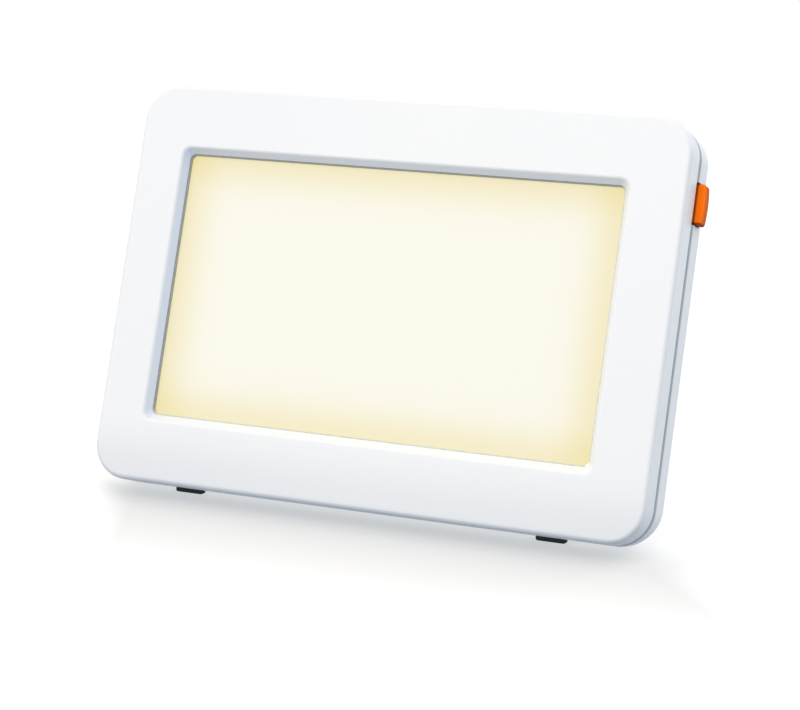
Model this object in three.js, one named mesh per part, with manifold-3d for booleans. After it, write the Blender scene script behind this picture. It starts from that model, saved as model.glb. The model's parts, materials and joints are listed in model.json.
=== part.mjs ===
// Table-top light therapy lamp: a flat white housing that leans back on two rubber feet and a fold-out
// stand, with a lit screen in front and one push button in its right side.
// Millimetres. x runs to the right as seen from the front, y to the back, z up; the table is at z = 0.
// Every housing piece is drawn upright in the body's own frame, where y is the depth behind the front
// face and z = 0 is the middle of the housing's height, and the body is then leant back as a whole.
import * as THREE from 'three';
import { mergeVertices } from 'three/addons/utils/BufferGeometryUtils.js';
import Module from 'manifold-3d';

const wasm = await Module();
wasm.setup();

// Housing
const bodyWidth = 254.2;
const bodyHeight = 177;
const bodyDepth = 33.6;
const cornerRadius = 16;
const frontEdgeRadius = 9.5;
const rearEdgeRadius = 4;
const lowerRearRadius = 12;
const wall = 2.5;
const leanDegrees = 21.72;
const fitGap = 0.3;
const overrun = 1;

// Parting of the two halves: a reveal groove, with the rear cover's tongue behind it
const coverDepth = 16.7;
const revealWidth = 2;
const rebateWall = 1.1;
const tongueLength = 3.6;

// Lit screen and the lip round it
const endMargin = 30.5;
const screenCorner = 2.5;
const screenThickness = 2.5;
const screenOverlap = 2;
const lipDepth = 4;
const lipSlope = 2.3;
const lowerLipSlope = 3;
const lipEdgeRadius = 0.8;
const lipWall = 2.2;
const bezelRibWidth = 1.4;
const bezelRibDepth = 9;
const bezelRibPitch = 60;
const bezelRibColumns = 4;
const bezelRibRows = 2;

// Gasket between the lip and the screen, its inner edge showing round the screen
const gasketThickness = 1.2;
const gasketReveal = 0.6;

// Light unit behind the screen
const reflectorTaper = 6;
const reflectorWall = 1.4;
const boardThickness = 1.6;
const ledPitch = 17;
const ledWidth = 3.5;
const ledHeight = 2.8;
const ledThickness = 0.7;
const spreaderThickness = 1.2;
const lightUnitGap = 2.7;
const boardMargin = 2;
const connectorMargin = 4;
const connectorHeight = 1.9;
const notchHeight = 8;
const notchWidth = 12;
const tabReach = 13.5;
const tabWidth = 13;
const tabGap = 14;

// Screws, and the posts that they go into
const screwRadius = 1.5;
const screwHeadRadius = 2.8;
const screwHeadHeight = 1.8;
const screwHeadRound = 0.6;
const postRadius = 3.4;
const postInset = 16;
const lowerPostGap = 15;
const bossWall = 1.5;
const bossWeb = 2.2;
const screwBite = 10;
const boardScrewBite = 8;

// Fold-out stand
const pocketDepth = 7.2;
const pocketWall = 1.8;
const legWidth = 60;
const legThickness = 5.6;
const legSkin = 1.8;
const legRim = 2;
const legRib = 1.5;
const legBays = 3;
const legFlush = 0.4;
const legCorner = 8;
const heelReach = 6.5;
const heelClearance = 1.6;
const pivotHeight = 24;
const standOpenDegrees = 38;
const pinRadius = 1.25;
const pinSeat = 5;
const pinBossHeight = 9;
const washerThickness = 0.4;
const washerWall = 1.3;
const padHeight = 5;
const padTongue = 2.4;
const padTongueDepth = 2;
const scoopRadius = 8;
const scoopDepth = 6;
const scoopAboveSole = 22;

// Feet
const footInset = 42.9;
const footWidth = 13.8;
const footFromBack = 12.6;
const footLength = 6;
const footHeight = 1.9;
const footSeat = 1.7;
const footRound = 1;

// Power button and its switch
const buttonLength = 18.4;
const buttonWidth = 9.4;
const buttonDrop = 33.4;
const buttonEndProud = 2.3;
const buttonCrown = 0.9;
const buttonCorner = 2;
const flangeMargin = 1.6;
const flangeThickness = 1.6;
const buttonStem = 5;
const buttonTravel = 1.2;
const plungerRadius = 1.8;
const plungerOut = 3.2;
const plungerIn = 3;
const switchLength = 10;
const switchWidth = 8;
const switchHeight = 12;
const terminalLength = 2.6;
const terminalWidth = 1.2;
const terminalThickness = 0.6;
const terminalSpread = 1.2;

// Driver board, in the column beside the screen
const driverWidth = 17;
const driverSideGap = 1.7;
const driverUpperRoom = 15.1;
const driverLowerRoom = 8.5;
const driverStandoff = 4.1;
const driverColumn = 4.3;
const boardCorner = 1.2;
const inductorShare = 0.25;
const inductorRadius = 5;
const inductorWaist = 4;
const inductorFlange = 1.4;
const inductorHeight = 7;
const capacitorShare = -0.125;
const capacitorOffset = 2;
const capacitorRadius = 4;
const capacitorRim = 0.4;
const capacitorHeight = 11;
const chipGap = 3;
const chipWidth = 4;
const chipHeight = 5;
const chipThickness = 1.5;
const headerWidth = 6;
const headerHeight = 4;
const headerDepth = 3.8;
const headerInset = 1;
const leadRadius = 1.1;
const leadDrop = 4;

// DC jack
const jackWidth = 9;
const jackHeight = 11;
const jackDepth = 11.5;
const jackInset = 32.5;
const jackNoseRadius = 3.9;
const jackBoreRadius = 3.1;
const jackBoreDepth = 9;
const jackPinRadius = 1;
const jackPinBack = 1;
const cradleWall = 1.5;

// Vent slots
const ventWidth = 2;
const ventPitch = 7;
const ventCount = 5;
const ventLength = 26;
const ventFirst = 54;
const ventInset = 42.5;

// Steps that draw a quarter turn
const cornerSteps = 8;
const edgeSteps = 4;
const rodSides = 16;
const screwSides = 8;
const leadSteps = 16;

// Places that follow from the sizes above
const lean = THREE.MathUtils.degToRad(leanDegrees);
const standOpen = THREE.MathUtils.degToRad(standOpenDegrees);
const legLean = standOpen - lean;
const halfWidth = bodyWidth / 2;
const halfHeight = bodyHeight / 2;
const rearStart = bodyDepth - coverDepth;
const bezelDepth = rearStart - revealWidth;
const backInner = bodyDepth - wall;
const sideMargin = screenOverlap + lipWall + driverSideGap * 2 + driverWidth + wall;
const screenWidth = bodyWidth - sideMargin * 2;
const screenHeight = bodyHeight - endMargin * 2;
const gasketFront = lipDepth + fitGap;
const screenFront = gasketFront + gasketThickness + fitGap;
const screenBack = screenFront + screenThickness;
const reflectorFront = screenBack + fitGap;
const pocketFloor = bodyDepth - pocketDepth;
const spreaderBack = pocketFloor - pocketWall - lightUnitGap;
const spreaderFront = spreaderBack - spreaderThickness;
const ledBoardBack = spreaderFront - fitGap;
const ledBoardFront = ledBoardBack - boardThickness;
const reflectorBack = ledBoardFront - fitGap;
const plateHalfWidth = screenWidth / 2 + screenOverlap;
const plateHalfHeight = screenHeight / 2 + screenOverlap;
const plateCorner = screenCorner + screenOverlap;
const ledBoardHalfX = screenWidth / 2 - boardMargin;
const ledBoardHalfZ = screenHeight / 2 - boardMargin;
const ledColumns = Math.floor((screenWidth - reflectorTaper * 2) / ledPitch);
const ledRows = Math.floor((screenHeight - reflectorTaper * 2) / ledPitch);
const connectorRight = ledBoardHalfX - connectorMargin;
const connectorBack = ledBoardBack + connectorHeight;
const footCentre = halfWidth - footInset;
const footFront = bodyDepth - footFromBack;
const tableDrop = footFront * Math.sin(lean) + (halfHeight + footHeight) * Math.cos(lean);
const pocketHalf = legWidth / 2 + washerThickness + fitGap * 2;
const pivotDepth = bodyDepth - legFlush - legThickness / 2;
const pivotDrop = tableDrop - pivotDepth * Math.sin(lean) + pivotHeight * Math.cos(lean);
const legReach = pivotDrop / Math.cos(legLean);
const legEnd = padHeight - legReach;
const legHalf = legWidth / 2;
const thickHalf = legThickness / 2;
const pocketTop = pivotHeight + heelReach + heelClearance;
const pinBore = pinRadius + fitGap;
const pinHalf = pocketHalf + pinSeat;
const scoopHeight = pivotHeight - legReach + scoopAboveSole;
const lowerPostCentre = pocketHalf + lowerPostGap;
const postX = halfWidth - postInset;
const postZ = halfHeight - postInset;
const postEnd = rearStart - fitGap;
const coverPosts = [
  [-postX, postZ],
  [0, postZ],
  [postX, postZ],
  [-postX, -postZ],
  [-lowerPostCentre, -postZ],
  [lowerPostCentre, -postZ],
  [postX, -postZ],
];
const tabCentre = lowerPostCentre + tabGap;
const tabZ = plateHalfHeight + tabReach / 2;
const boardPosts = [
  [-tabCentre, tabZ],
  [tabCentre, tabZ],
  [-tabCentre, -tabZ],
  [tabCentre, -tabZ],
];
const headSeat = rearStart + bossWeb + fitGap;
const buttonHeight = halfHeight - buttonDrop;
const buttonFront = rearStart + fitGap;
const buttonCentre = buttonFront + buttonWidth / 2;
const flangeOuter = halfWidth - wall - fitGap;
const flangeInner = flangeOuter - flangeThickness;
const plungerTip = flangeInner - buttonTravel - fitGap;
const switchRight = plungerTip - plungerOut;
const switchLeft = switchRight - switchLength;
const switchX = (switchLeft + switchRight) / 2;
const switchBack = buttonCentre + switchWidth / 2;
const switchBottom = buttonHeight - switchHeight / 2;
const driverCentre = (plateHalfWidth + lipWall + halfWidth - wall) / 2;
const ventCentre = halfHeight - ventInset;
const driverBack = backInner - driverStandoff;
const driverFront = driverBack - boardThickness;
const jackRise = jackInset - halfHeight;
const driverTop = switchBottom - driverUpperRoom;
const driverBottom = jackRise + jackHeight / 2 + driverLowerRoom;
const driverRise = (driverTop + driverBottom) / 2;
const driverHeight = driverTop - driverBottom;
const capacitorRise = driverRise + driverHeight * capacitorShare;
const headerX = driverCentre - driverColumn;
const headerLeft = headerX - headerWidth / 2;
const headerRight = headerX + headerWidth / 2;
const headerMiddle = driverFront - headerDepth / 2;
const headerTop = driverTop - headerInset;
const headerBottom = driverBottom + headerInset;
const sideHeaderLeft = headerLeft - fitGap;
const driverScrewX = driverCentre + driverColumn;
const driverPosts = [
  [driverScrewX, driverTop - postRadius],
  [driverScrewX, driverBottom + postRadius],
];
const jackX = driverCentre;
const jackFront = backInner - fitGap - jackDepth;
const jackCradleFront = backInner - jackDepth / 2;

// Materials, in the colours of the photograph or, inside, of such parts
function paint(color, roughness, metalness = 0) {
  return new THREE.MeshStandardMaterial({ color, roughness, metalness });
}

const glossWhite = paint(0xf5f7f9, 0.25);
const coverWhite = paint(0xe6ebf0, 0.35);
const litOpal = paint(0xfcfaea, 0.4);
const innerWhite = paint(0xffffff, 0.6);
const orange = paint(0xf86c05, 0.35);
const blackRubber = paint(0x1b1d20, 0.8);
const blackPlastic = paint(0x202225, 0.45);
const boardGreen = paint(0x1f5b3a, 0.5);
const boardWhite = paint(0xf2f4f2, 0.5);
const aluminium = paint(0xc4c8cc, 0.4, 0.9);
const steel = paint(0x9fa3a8, 0.35, 0.95);
const foamGrey = paint(0x5b5f64, 0.9);
const ferrite = paint(0x35373b, 0.7);

// A closed three.js geometry as a solid that can be joined and cut
function solid(geometry) {
  const bare = geometry.clone();
  bare.deleteAttribute('normal');
  bare.deleteAttribute('uv');
  const merged = mergeVertices(bare);
  const vertProperties = new Float32Array(merged.getAttribute('position').array);
  const triVerts = new Uint32Array(merged.getIndex().array);
  return new wasm.Manifold(new wasm.Mesh({ numProp: 3, vertProperties, triVerts }));
}

// A named mesh made of a solid, with flat shading
function piece(name, shape, material) {
  const { vertProperties, triVerts } = shape.getMesh();
  const indexed = new THREE.BufferGeometry();
  indexed.setAttribute('position', new THREE.BufferAttribute(vertProperties, 3));
  indexed.setIndex(new THREE.BufferAttribute(triVerts, 1));
  const geometry = indexed.toNonIndexed();
  geometry.computeVertexNormals();
  const mesh = new THREE.Mesh(geometry, material);
  mesh.name = name;
  return mesh;
}

const join = (solids) => solids.reduce((whole, next) => whole.add(next));
const cut = (whole, tools) => tools.reduce((rest, tool) => rest.subtract(tool), whole);

function block(x0, x1, y0, y1, z0, z1) {
  const box = new THREE.BoxGeometry(x1 - x0, y1 - y0, z1 - z0);
  return solid(box.translate((x0 + x1) / 2, (y0 + y1) / 2, (z0 + z1) / 2));
}

// Round rods along each axis of the body frame
function rodY(x, z, radius, y0, y1) {
  const rod = new THREE.CylinderGeometry(radius, radius, y1 - y0, rodSides);
  return solid(rod.translate(x, (y0 + y1) / 2, z));
}

function rodX(y, z, radius, x0, x1) {
  const rod = new THREE.CylinderGeometry(radius, radius, x1 - x0, rodSides).rotateZ(Math.PI / 2);
  return solid(rod.translate((x0 + x1) / 2, y, z));
}

// A shape drawn in x and z, extruded through the depth from y0 to y1
function plate(shape, y0, y1) {
  const extrusion = { depth: y1 - y0, bevelEnabled: false, curveSegments: edgeSteps };
  const extruded = new THREE.ExtrudeGeometry(shape, extrusion);
  return solid(extruded.rotateX(Math.PI / 2).translate(0, y1, 0));
}

function roundedShape(halfX, halfZ, radius, x = 0, z = 0) {
  const shape = new THREE.Shape();
  shape.absarc(x + halfX - radius, z - halfZ + radius, radius, -Math.PI / 2, 0);
  shape.absarc(x + halfX - radius, z + halfZ - radius, radius, 0, Math.PI / 2);
  shape.absarc(x - halfX + radius, z + halfZ - radius, radius, Math.PI / 2, Math.PI);
  shape.absarc(x - halfX + radius, z - halfZ + radius, radius, Math.PI, Math.PI * 1.5);
  return shape;
}

// A rounded rectangle as a loop of points at one depth, counter-clockwise as seen from the front.
// The lower corners may be rounder upwards than sideways.
function roundedLoop(y, { side, top, bottom, round, lowerRound = round }) {
  const corners = [
    { x: side - round, z: lowerRound - bottom, rise: lowerRound, from: -Math.PI / 2 },
    { x: side - round, z: top - round, rise: round, from: 0 },
    { x: round - side, z: top - round, rise: round, from: Math.PI / 2 },
    { x: round - side, z: lowerRound - bottom, rise: lowerRound, from: Math.PI },
  ];
  const loop = [];
  for (const { x, z, rise, from } of corners) {
    for (let i = 0; i <= cornerSteps; i += 1) {
      const angle = from + (Math.PI / 2) * (i / cornerSteps);
      loop.push(new THREE.Vector3(x + round * Math.cos(angle), y, z + rise * Math.sin(angle)));
    }
  }
  return loop;
}

// A closed solid through loops listed from front to back, all with the same number of points
function loft(loops) {
  const count = loops[0].length;
  const points = loops.flat();
  const front = points.push(new THREE.Vector3(0, loops[0][0].y, 0)) - 1;
  const back = points.push(new THREE.Vector3(0, loops.at(-1)[0].y, 0)) - 1;
  const faces = [];
  const last = (loops.length - 1) * count;
  for (let i = 0; i < count; i += 1) {
    const next = (i + 1) % count;
    faces.push(front, i, next, back, last + next, last + i);
    for (let base = 0; base < last; base += count) {
      faces.push(base + i, base + count + i, base + count + next);
      faces.push(base + i, base + count + next, base + next);
    }
  }
  const geometry = new THREE.BufferGeometry().setFromPoints(points);
  geometry.setIndex(faces);
  return solid(geometry);
}

// How far a rounded edge stands in from the flat side, at a distance from the face that it meets
function edgeInset(distance, radius) {
  if (distance >= radius) return 0;
  return radius - Math.sqrt(radius * radius - (radius - distance) * (radius - distance));
}

// The whole body, or the space within it at a skin's thickness, from front face to back face
function bodyForm(skin) {
  const front = frontEdgeRadius - skin;
  const rear = rearEdgeRadius - skin;
  const lower = lowerRearRadius - skin;
  const depths = [];
  for (let i = 0; i <= edgeSteps; i += 1) {
    const share = 1 - Math.cos((Math.PI / 2) * (i / edgeSteps));
    depths.push(skin + front * share);
    depths.push(bodyDepth - skin - rear * share);
    depths.push(bodyDepth - skin - lower * share);
  }
  const unique = [...new Set(depths)].sort((a, b) => a - b);
  const loops = unique.map((y) => {
    const inset = skin + edgeInset(y - skin, front) + edgeInset(bodyDepth - skin - y, rear);
    const lift = skin + edgeInset(y - skin, front) + edgeInset(bodyDepth - skin - y, lower);
    return roundedLoop(y, {
      side: halfWidth - inset,
      top: halfHeight - inset,
      bottom: halfHeight - lift,
      round: cornerRadius - inset,
      lowerRound: cornerRadius - Math.min(lift, cornerRadius / 2),
    });
  });
  return loft(loops);
}

// The stretch of a solid between two depths
function slab(whole, y0, y1) {
  return whole.trimByPlane([0, 1, 0], y0).trimByPlane([0, -1, 0], -y1);
}

const outerForm = bodyForm(0);
const innerForm = bodyForm(wall);

// The opening through the lip: rounded at the front face, then sloping in to the gasket
function lipOpening() {
  const flare = (y, slopeShare, rounding) => {
    const upper = gasketReveal + lipSlope * slopeShare + rounding;
    const lower = gasketReveal + lowerLipSlope * slopeShare + rounding;
    return roundedLoop(y, {
      side: screenWidth / 2 + upper,
      top: screenHeight / 2 + upper,
      bottom: screenHeight / 2 + lower,
      round: screenCorner + upper / 2,
    });
  };
  const loops = [flare(-overrun, 1, lipEdgeRadius)];
  for (let i = 0; i <= edgeSteps; i += 2) {
    const angle = (Math.PI / 2) * (i / edgeSteps);
    const depth = lipEdgeRadius * (1 - Math.cos(angle));
    loops.push(flare(depth, 1 - depth / lipDepth, lipEdgeRadius * (1 - Math.sin(angle))));
  }
  loops.push(flare(lipDepth, 0, 0));
  loops.push(flare(lipDepth + overrun, 0, 0));
  return loft(loops);
}

function ringPlate(margin, radius, y0, y1) {
  return plate(roundedShape(plateHalfWidth + margin, plateHalfHeight + margin, radius), y0, y1);
}

// Ribs that stiffen the bezel's margin, between the screen's rim and the outer wall
function bezelRibs() {
  const ribs = [];
  const rimX = plateHalfWidth + fitGap + lipWall / 2;
  const rimZ = plateHalfHeight + fitGap + lipWall / 2;
  const half = bezelRibWidth / 2;
  const end = wall / 2 + bezelRibDepth;
  for (let column = 0; column < bezelRibColumns; column += 1) {
    const x = (column - (bezelRibColumns - 1) / 2) * bezelRibPitch;
    ribs.push(block(x - half, x + half, wall / 2, end, -halfHeight, halfHeight));
  }
  for (let row = 0; row < bezelRibRows; row += 1) {
    const z = (row - (bezelRibRows - 1) / 2) * bezelRibPitch;
    ribs.push(block(-halfWidth, halfWidth, wall / 2, end, z - half, z + half));
  }
  const within = block(-rimX, rimX, 0, bodyDepth, -rimZ, rimZ);
  return join(ribs).intersect(bodyForm(wall / 2)).subtract(within);
}

function frontBezel() {
  const shell = slab(outerForm, -overrun, bezelDepth);
  const hollow = slab(innerForm, 0, bodyDepth);
  const rebate = slab(bodyForm(rebateWall), bezelDepth - tongueLength, bodyDepth);
  const rim = ringPlate(fitGap + lipWall, plateCorner + lipWall, wall / 2, screenBack + fitGap);
  const seat = ringPlate(fitGap, plateCorner, lipDepth, screenBack + overrun);
  const posts = coverPosts.map(([x, z]) => rodY(x, z, postRadius, wall / 2, postEnd));
  const stubs = boardPosts.map(([x, z]) => rodY(x, z, postRadius, wall / 2, spreaderFront - fitGap));
  const postBores = coverPosts.map(([x, z]) => (
    rodY(x, z, screwRadius + fitGap, headSeat - fitGap - bossWeb - screwBite - fitGap, postEnd + overrun)
  ));
  const stubBores = boardPosts.map(([x, z]) => (
    rodY(x, z, screwRadius + fitGap, spreaderFront - fitGap - boardScrewBite, spreaderFront + overrun)
  ));
  const body = join([cut(shell, [hollow, rebate]), rim, bezelRibs(), ...posts, ...stubs]);
  return cut(body, [seat, lipOpening(), ...postBores, ...stubBores]);
}

function diffuserScreen() {
  return ringPlate(0, plateCorner, screenFront, screenBack);
}

function screenGasket() {
  const band = ringPlate(0, plateCorner, gasketFront, gasketFront + gasketThickness);
  const shape = roundedShape(screenWidth / 2, screenHeight / 2, screenCorner);
  return band.subtract(plate(shape, 0, bodyDepth));
}

// A tray with sloping walls, open at both ends, white inside
function reflectorFrame() {
  const loopAt = (y, margin) => roundedLoop(y, {
    side: screenWidth / 2 + margin,
    top: screenHeight / 2 + margin,
    bottom: screenHeight / 2 + margin,
    round: screenCorner + fitGap,
  });
  const outer = loft([
    loopAt(reflectorFront, screenOverlap),
    loopAt(reflectorFront + reflectorWall, screenOverlap),
    loopAt(reflectorFront + reflectorWall + fitGap, reflectorWall),
    loopAt(reflectorBack, reflectorWall - reflectorTaper),
  ]);
  const inner = loft([
    loopAt(reflectorFront - overrun, fitGap),
    loopAt(reflectorFront, fitGap),
    loopAt(reflectorBack, -reflectorTaper),
    loopAt(reflectorBack + overrun, -reflectorTaper),
  ]);
  return outer.subtract(inner);
}

// The board, with a block for each LED package and its connector on the back
function ledBoard() {
  const shape = roundedShape(ledBoardHalfX, ledBoardHalfZ, screenCorner);
  const solids = [plate(shape, ledBoardFront, ledBoardBack)];
  const front = ledBoardFront - ledThickness;
  const middle = ledBoardFront + boardThickness / 2;
  const halfX = ledWidth / 2;
  const halfZ = ledHeight / 2;
  for (let column = 0; column < ledColumns; column += 1) {
    for (let row = 0; row < ledRows; row += 1) {
      const x = (column - (ledColumns - 1) / 2) * ledPitch;
      const z = (row - (ledRows - 1) / 2) * ledPitch;
      solids.push(block(x - halfX, x + halfX, front, middle, z - halfZ, z + halfZ));
    }
  }
  const left = connectorRight - headerWidth;
  const half = headerHeight / 2;
  solids.push(block(left, connectorRight, middle, connectorBack, -half, half));
  return join(solids);
}

// The plate behind the board, with an ear at each screw and a notch for the board's connector
function heatSpreader() {
  const sheet = roundedShape(ledBoardHalfX, ledBoardHalfZ, screenCorner);
  const solids = [plate(sheet, spreaderFront, spreaderBack)];
  const root = ledBoardHalfZ - screenCorner * 2;
  const tip = tabZ + tabWidth / 2;
  for (const [x, z] of boardPosts) {
    const middle = Math.sign(z) * (root + tip) / 2;
    const ear = roundedShape(tabWidth / 2, (tip - root) / 2, screenCorner, x, middle);
    solids.push(plate(ear, spreaderFront, spreaderBack));
  }
  const notchEnd = ledBoardHalfX + overrun;
  const notch = block(
    ledBoardHalfX - notchWidth,
    notchEnd,
    spreaderFront - overrun,
    spreaderBack + overrun,
    -notchHeight / 2,
    notchHeight / 2,
  );
  const holes = boardPosts.map(([x, z]) => rodY(x, z, screwRadius + fitGap, 0, bodyDepth));
  return cut(join(solids), [notch, ...holes]);
}

// The pocket that the stand folds into: open at the back and through the lower edge
function pocketShell() {
  const outerHalf = pocketHalf + pocketWall;
  const front = pocketFloor - pocketWall;
  const box = block(-outerHalf, outerHalf, front, bodyDepth, -halfHeight, pocketTop + pocketWall);
  return box.intersect(outerForm);
}

function pocketSpace() {
  return block(-pocketHalf, pocketHalf, pocketFloor, bodyDepth + overrun, -halfHeight - overrun, pocketTop);
}

// Blocks beside the pocket that hold the ends of the hinge pin
function pinBosses() {
  return [-1, 1].map((sign) => {
    const x = [sign * (pocketHalf + pocketWall / 2), sign * (pinHalf + pocketWall)].sort((a, b) => a - b);
    const z = pivotHeight - pinBossHeight / 2;
    return block(x[0], x[1], pocketFloor - pocketWall, bodyDepth - wall / 2, z, z + pinBossHeight);
  });
}

// Scoops for a fingertip, one on each side of the folded leg
function scoopCups() {
  const floor = bodyDepth - scoopDepth - pocketWall;
  return [-1, 1].map((sign) => (
    rodY(sign * pocketHalf, scoopHeight, scoopRadius + pocketWall, floor, bodyDepth - wall / 2)
  ));
}

function scoopSpaces() {
  return [-1, 1].map((sign) => (
    rodY(sign * pocketHalf, scoopHeight, scoopRadius, bodyDepth - scoopDepth, bodyDepth + overrun)
  ));
}

function ventSlots() {
  const slots = [];
  for (const sign of [-1, 1]) {
    for (const z of [-ventCentre, ventCentre]) {
      for (let i = 0; i < ventCount; i += 1) {
        const x = sign * (ventFirst + i * ventPitch);
        const shape = roundedShape(ventWidth / 2, ventLength / 2, ventWidth / 2, x, z);
        const extrusion = { depth: wall + overrun * 2, bevelEnabled: false, curveSegments: 2 };
        const slot = new THREE.ExtrudeGeometry(shape, extrusion);
        slots.push(solid(slot.rotateX(Math.PI / 2).translate(0, bodyDepth + overrun, 0)));
      }
    }
  }
  return slots;
}

// A box of walls that holds a part against the back wall, open to the front
function cradle(x, z, halfX, halfZ, y0) {
  const marginX = halfX + fitGap + cradleWall;
  const marginZ = halfZ + fitGap + cradleWall;
  return block(x - marginX, x + marginX, y0, bodyDepth - wall / 2, z - marginZ, z + marginZ);
}

function cradleSpace(x, z, halfX, halfZ, y0, y1) {
  const marginX = halfX + fitGap;
  const marginZ = halfZ + fitGap;
  return block(x - marginX, x + marginX, y0, y1, z - marginZ, z + marginZ);
}

function coverCradles() {
  return [
    cradle(switchX, buttonHeight, switchLength / 2, switchHeight / 2, buttonCentre),
    cradle(jackX, jackRise, jackWidth / 2, jackHeight / 2, jackCradleFront),
  ];
}

function coverCradleSpaces() {
  const slot = block(
    switchRight - overrun,
    switchRight + fitGap + cradleWall + overrun,
    buttonCentre - overrun,
    buttonCentre + plungerRadius + fitGap,
    buttonHeight - plungerRadius - fitGap,
    buttonHeight + plungerRadius + fitGap,
  );
  const leadSlot = block(
    switchX - headerWidth / 2,
    switchX + headerWidth / 2,
    buttonCentre - overrun,
    buttonCentre + leadRadius + fitGap,
    switchBottom - fitGap - cradleWall - overrun,
    buttonHeight,
  );
  const switchFront = buttonCentre - overrun;
  const jackSpaceFront = jackCradleFront - overrun;
  const switchRear = switchBack + fitGap;
  return [
    cradleSpace(switchX, buttonHeight, switchLength / 2, switchHeight / 2, switchFront, switchRear),
    cradleSpace(jackX, jackRise, jackWidth / 2, jackHeight / 2, jackSpaceFront, backInner),
    rodY(jackX, jackRise, jackNoseRadius + fitGap, backInner - overrun, bodyDepth + overrun),
    slot,
    leadSlot,
  ];
}

// The gap in the right wall for the button's head, reaching to the parting
function buttonNotch() {
  const half = buttonLength / 2 + fitGap;
  return block(
    halfWidth - wall - overrun,
    halfWidth + overrun,
    rearStart,
    buttonFront + buttonWidth + fitGap,
    buttonHeight - half,
    buttonHeight + half,
  );
}

// Shallow seats for the feet in the underside
function footSeats() {
  return [-1, 1].map((sign) => {
    const half = footWidth / 2 + fitGap;
    const x = sign * footCentre;
    return block(
      x - half,
      x + half,
      footFront - fitGap,
      footFront + footLength + fitGap,
      -halfHeight - overrun,
      footSeat - halfHeight,
    );
  });
}

function rearCover() {
  const shell = slab(outerForm, rearStart, bodyDepth + overrun);
  const tongueForm = bodyForm(rebateWall + fitGap);
  const tongue = slab(tongueForm, bezelDepth - tongueLength + fitGap, rearStart + overrun);
  const bosses = coverPosts.map(([x, z]) => (
    rodY(x, z, screwHeadRadius + fitGap + bossWall, rearStart, bodyDepth - wall / 2)
  ));
  const counterbores = coverPosts.map(([x, z]) => (
    rodY(x, z, screwHeadRadius + fitGap, rearStart + bossWeb, bodyDepth + overrun)
  ));
  const screwHoles = coverPosts.map(([x, z]) => rodY(x, z, screwRadius + fitGap, 0, bodyDepth));
  const boardBosses = driverPosts.map(([x, z]) => (
    rodY(x, z, postRadius, driverBack + fitGap, bodyDepth - wall / 2)
  ));
  const boardBores = driverPosts.map(([x, z]) => (
    rodY(x, z, screwRadius + fitGap, 0, backInner)
  ));
  const hull = cut(join([shell, tongue]), [innerForm]);
  const filled = join([
    hull,
    pocketShell(),
    ...pinBosses(),
    ...scoopCups(),
    ...bosses,
    ...boardBosses,
    ...coverCradles(),
  ]);
  return cut(filled, [
    pocketSpace(),
    ...scoopSpaces(),
    rodX(pivotDepth, pivotHeight, pinBore, -pinHalf - fitGap, pinHalf + fitGap),
    ...counterbores,
    ...screwHoles,
    ...boardBores,
    ...coverCradleSpaces(),
    ...ventSlots(),
    buttonNotch(),
    ...footSeats(),
  ]);
}

// A rubber pad let into the underside, its sole cut level with the table
function foot(sign) {
  const x = sign * footCentre;
  const top = footSeat - fitGap - halfHeight;
  const bottom = -halfHeight - footHeight;
  const shape = roundedShape(footWidth / 2, (top - bottom) / 2, footRound, x, (top + bottom) / 2);
  const pad = plate(shape, footFront, footFront + footLength);
  return pad.trimByPlane([0, -Math.sin(lean), Math.cos(lean)], -tableDrop);
}

// A pan-head screw along y, its head towards the back unless it is turned
function screw(x, z, seat, bite, turn = 0) {
  const head = new THREE.LatheGeometry(
    [
      new THREE.Vector2(0, -bite),
      new THREE.Vector2(screwRadius / 2, -bite),
      new THREE.Vector2(screwRadius, screwRadius - bite),
      new THREE.Vector2(screwRadius, 0),
      new THREE.Vector2(screwHeadRadius, 0),
      new THREE.Vector2(screwHeadRadius, screwHeadHeight - screwHeadRound),
      new THREE.Vector2(screwHeadRadius - screwHeadRound, screwHeadHeight),
      new THREE.Vector2(0, screwHeadHeight),
    ],
    screwSides,
  );
  return solid(head.rotateX(turn).translate(x, seat, z));
}

// The head in the side wall, crowned along its length, with the flange and stem behind it
function powerButton() {
  const half = buttonLength / 2;
  const rise = new THREE.Shape();
  rise.moveTo(flangeOuter - flangeThickness / 2, buttonHeight - half);
  rise.lineTo(halfWidth + buttonEndProud, buttonHeight - half);
  rise.quadraticCurveTo(
    halfWidth + buttonEndProud + buttonCrown * 2,
    buttonHeight,
    halfWidth + buttonEndProud,
    buttonHeight + half,
  );
  rise.lineTo(flangeOuter - flangeThickness / 2, buttonHeight + half);
  const crowned = plate(rise, buttonFront, buttonFront + buttonWidth);
  const face = roundedShape(half, buttonWidth / 2, buttonCorner);
  const extrusion = { depth: bodyWidth, bevelEnabled: false, curveSegments: edgeSteps };
  const prism = new THREE.ExtrudeGeometry(face, extrusion).rotateY(Math.PI / 2);
  const rounded = solid(prism.translate(0, buttonCentre, buttonHeight));
  const flange = block(
    flangeInner,
    flangeOuter,
    rearStart - fitGap,
    buttonFront + buttonWidth + flangeMargin,
    buttonHeight - half - flangeMargin,
    buttonHeight + half + flangeMargin,
  );
  const stem = block(
    plungerTip + fitGap,
    flangeInner + flangeThickness / 2,
    buttonCentre - buttonStem / 2,
    buttonCentre + buttonStem / 2,
    buttonHeight - buttonStem / 2,
    buttonHeight + buttonStem / 2,
  );
  return join([crowned.intersect(rounded), flange, stem]);
}

function switchPlunger() {
  return rodX(buttonCentre, buttonHeight, plungerRadius, switchRight - plungerIn, plungerTip);
}

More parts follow.
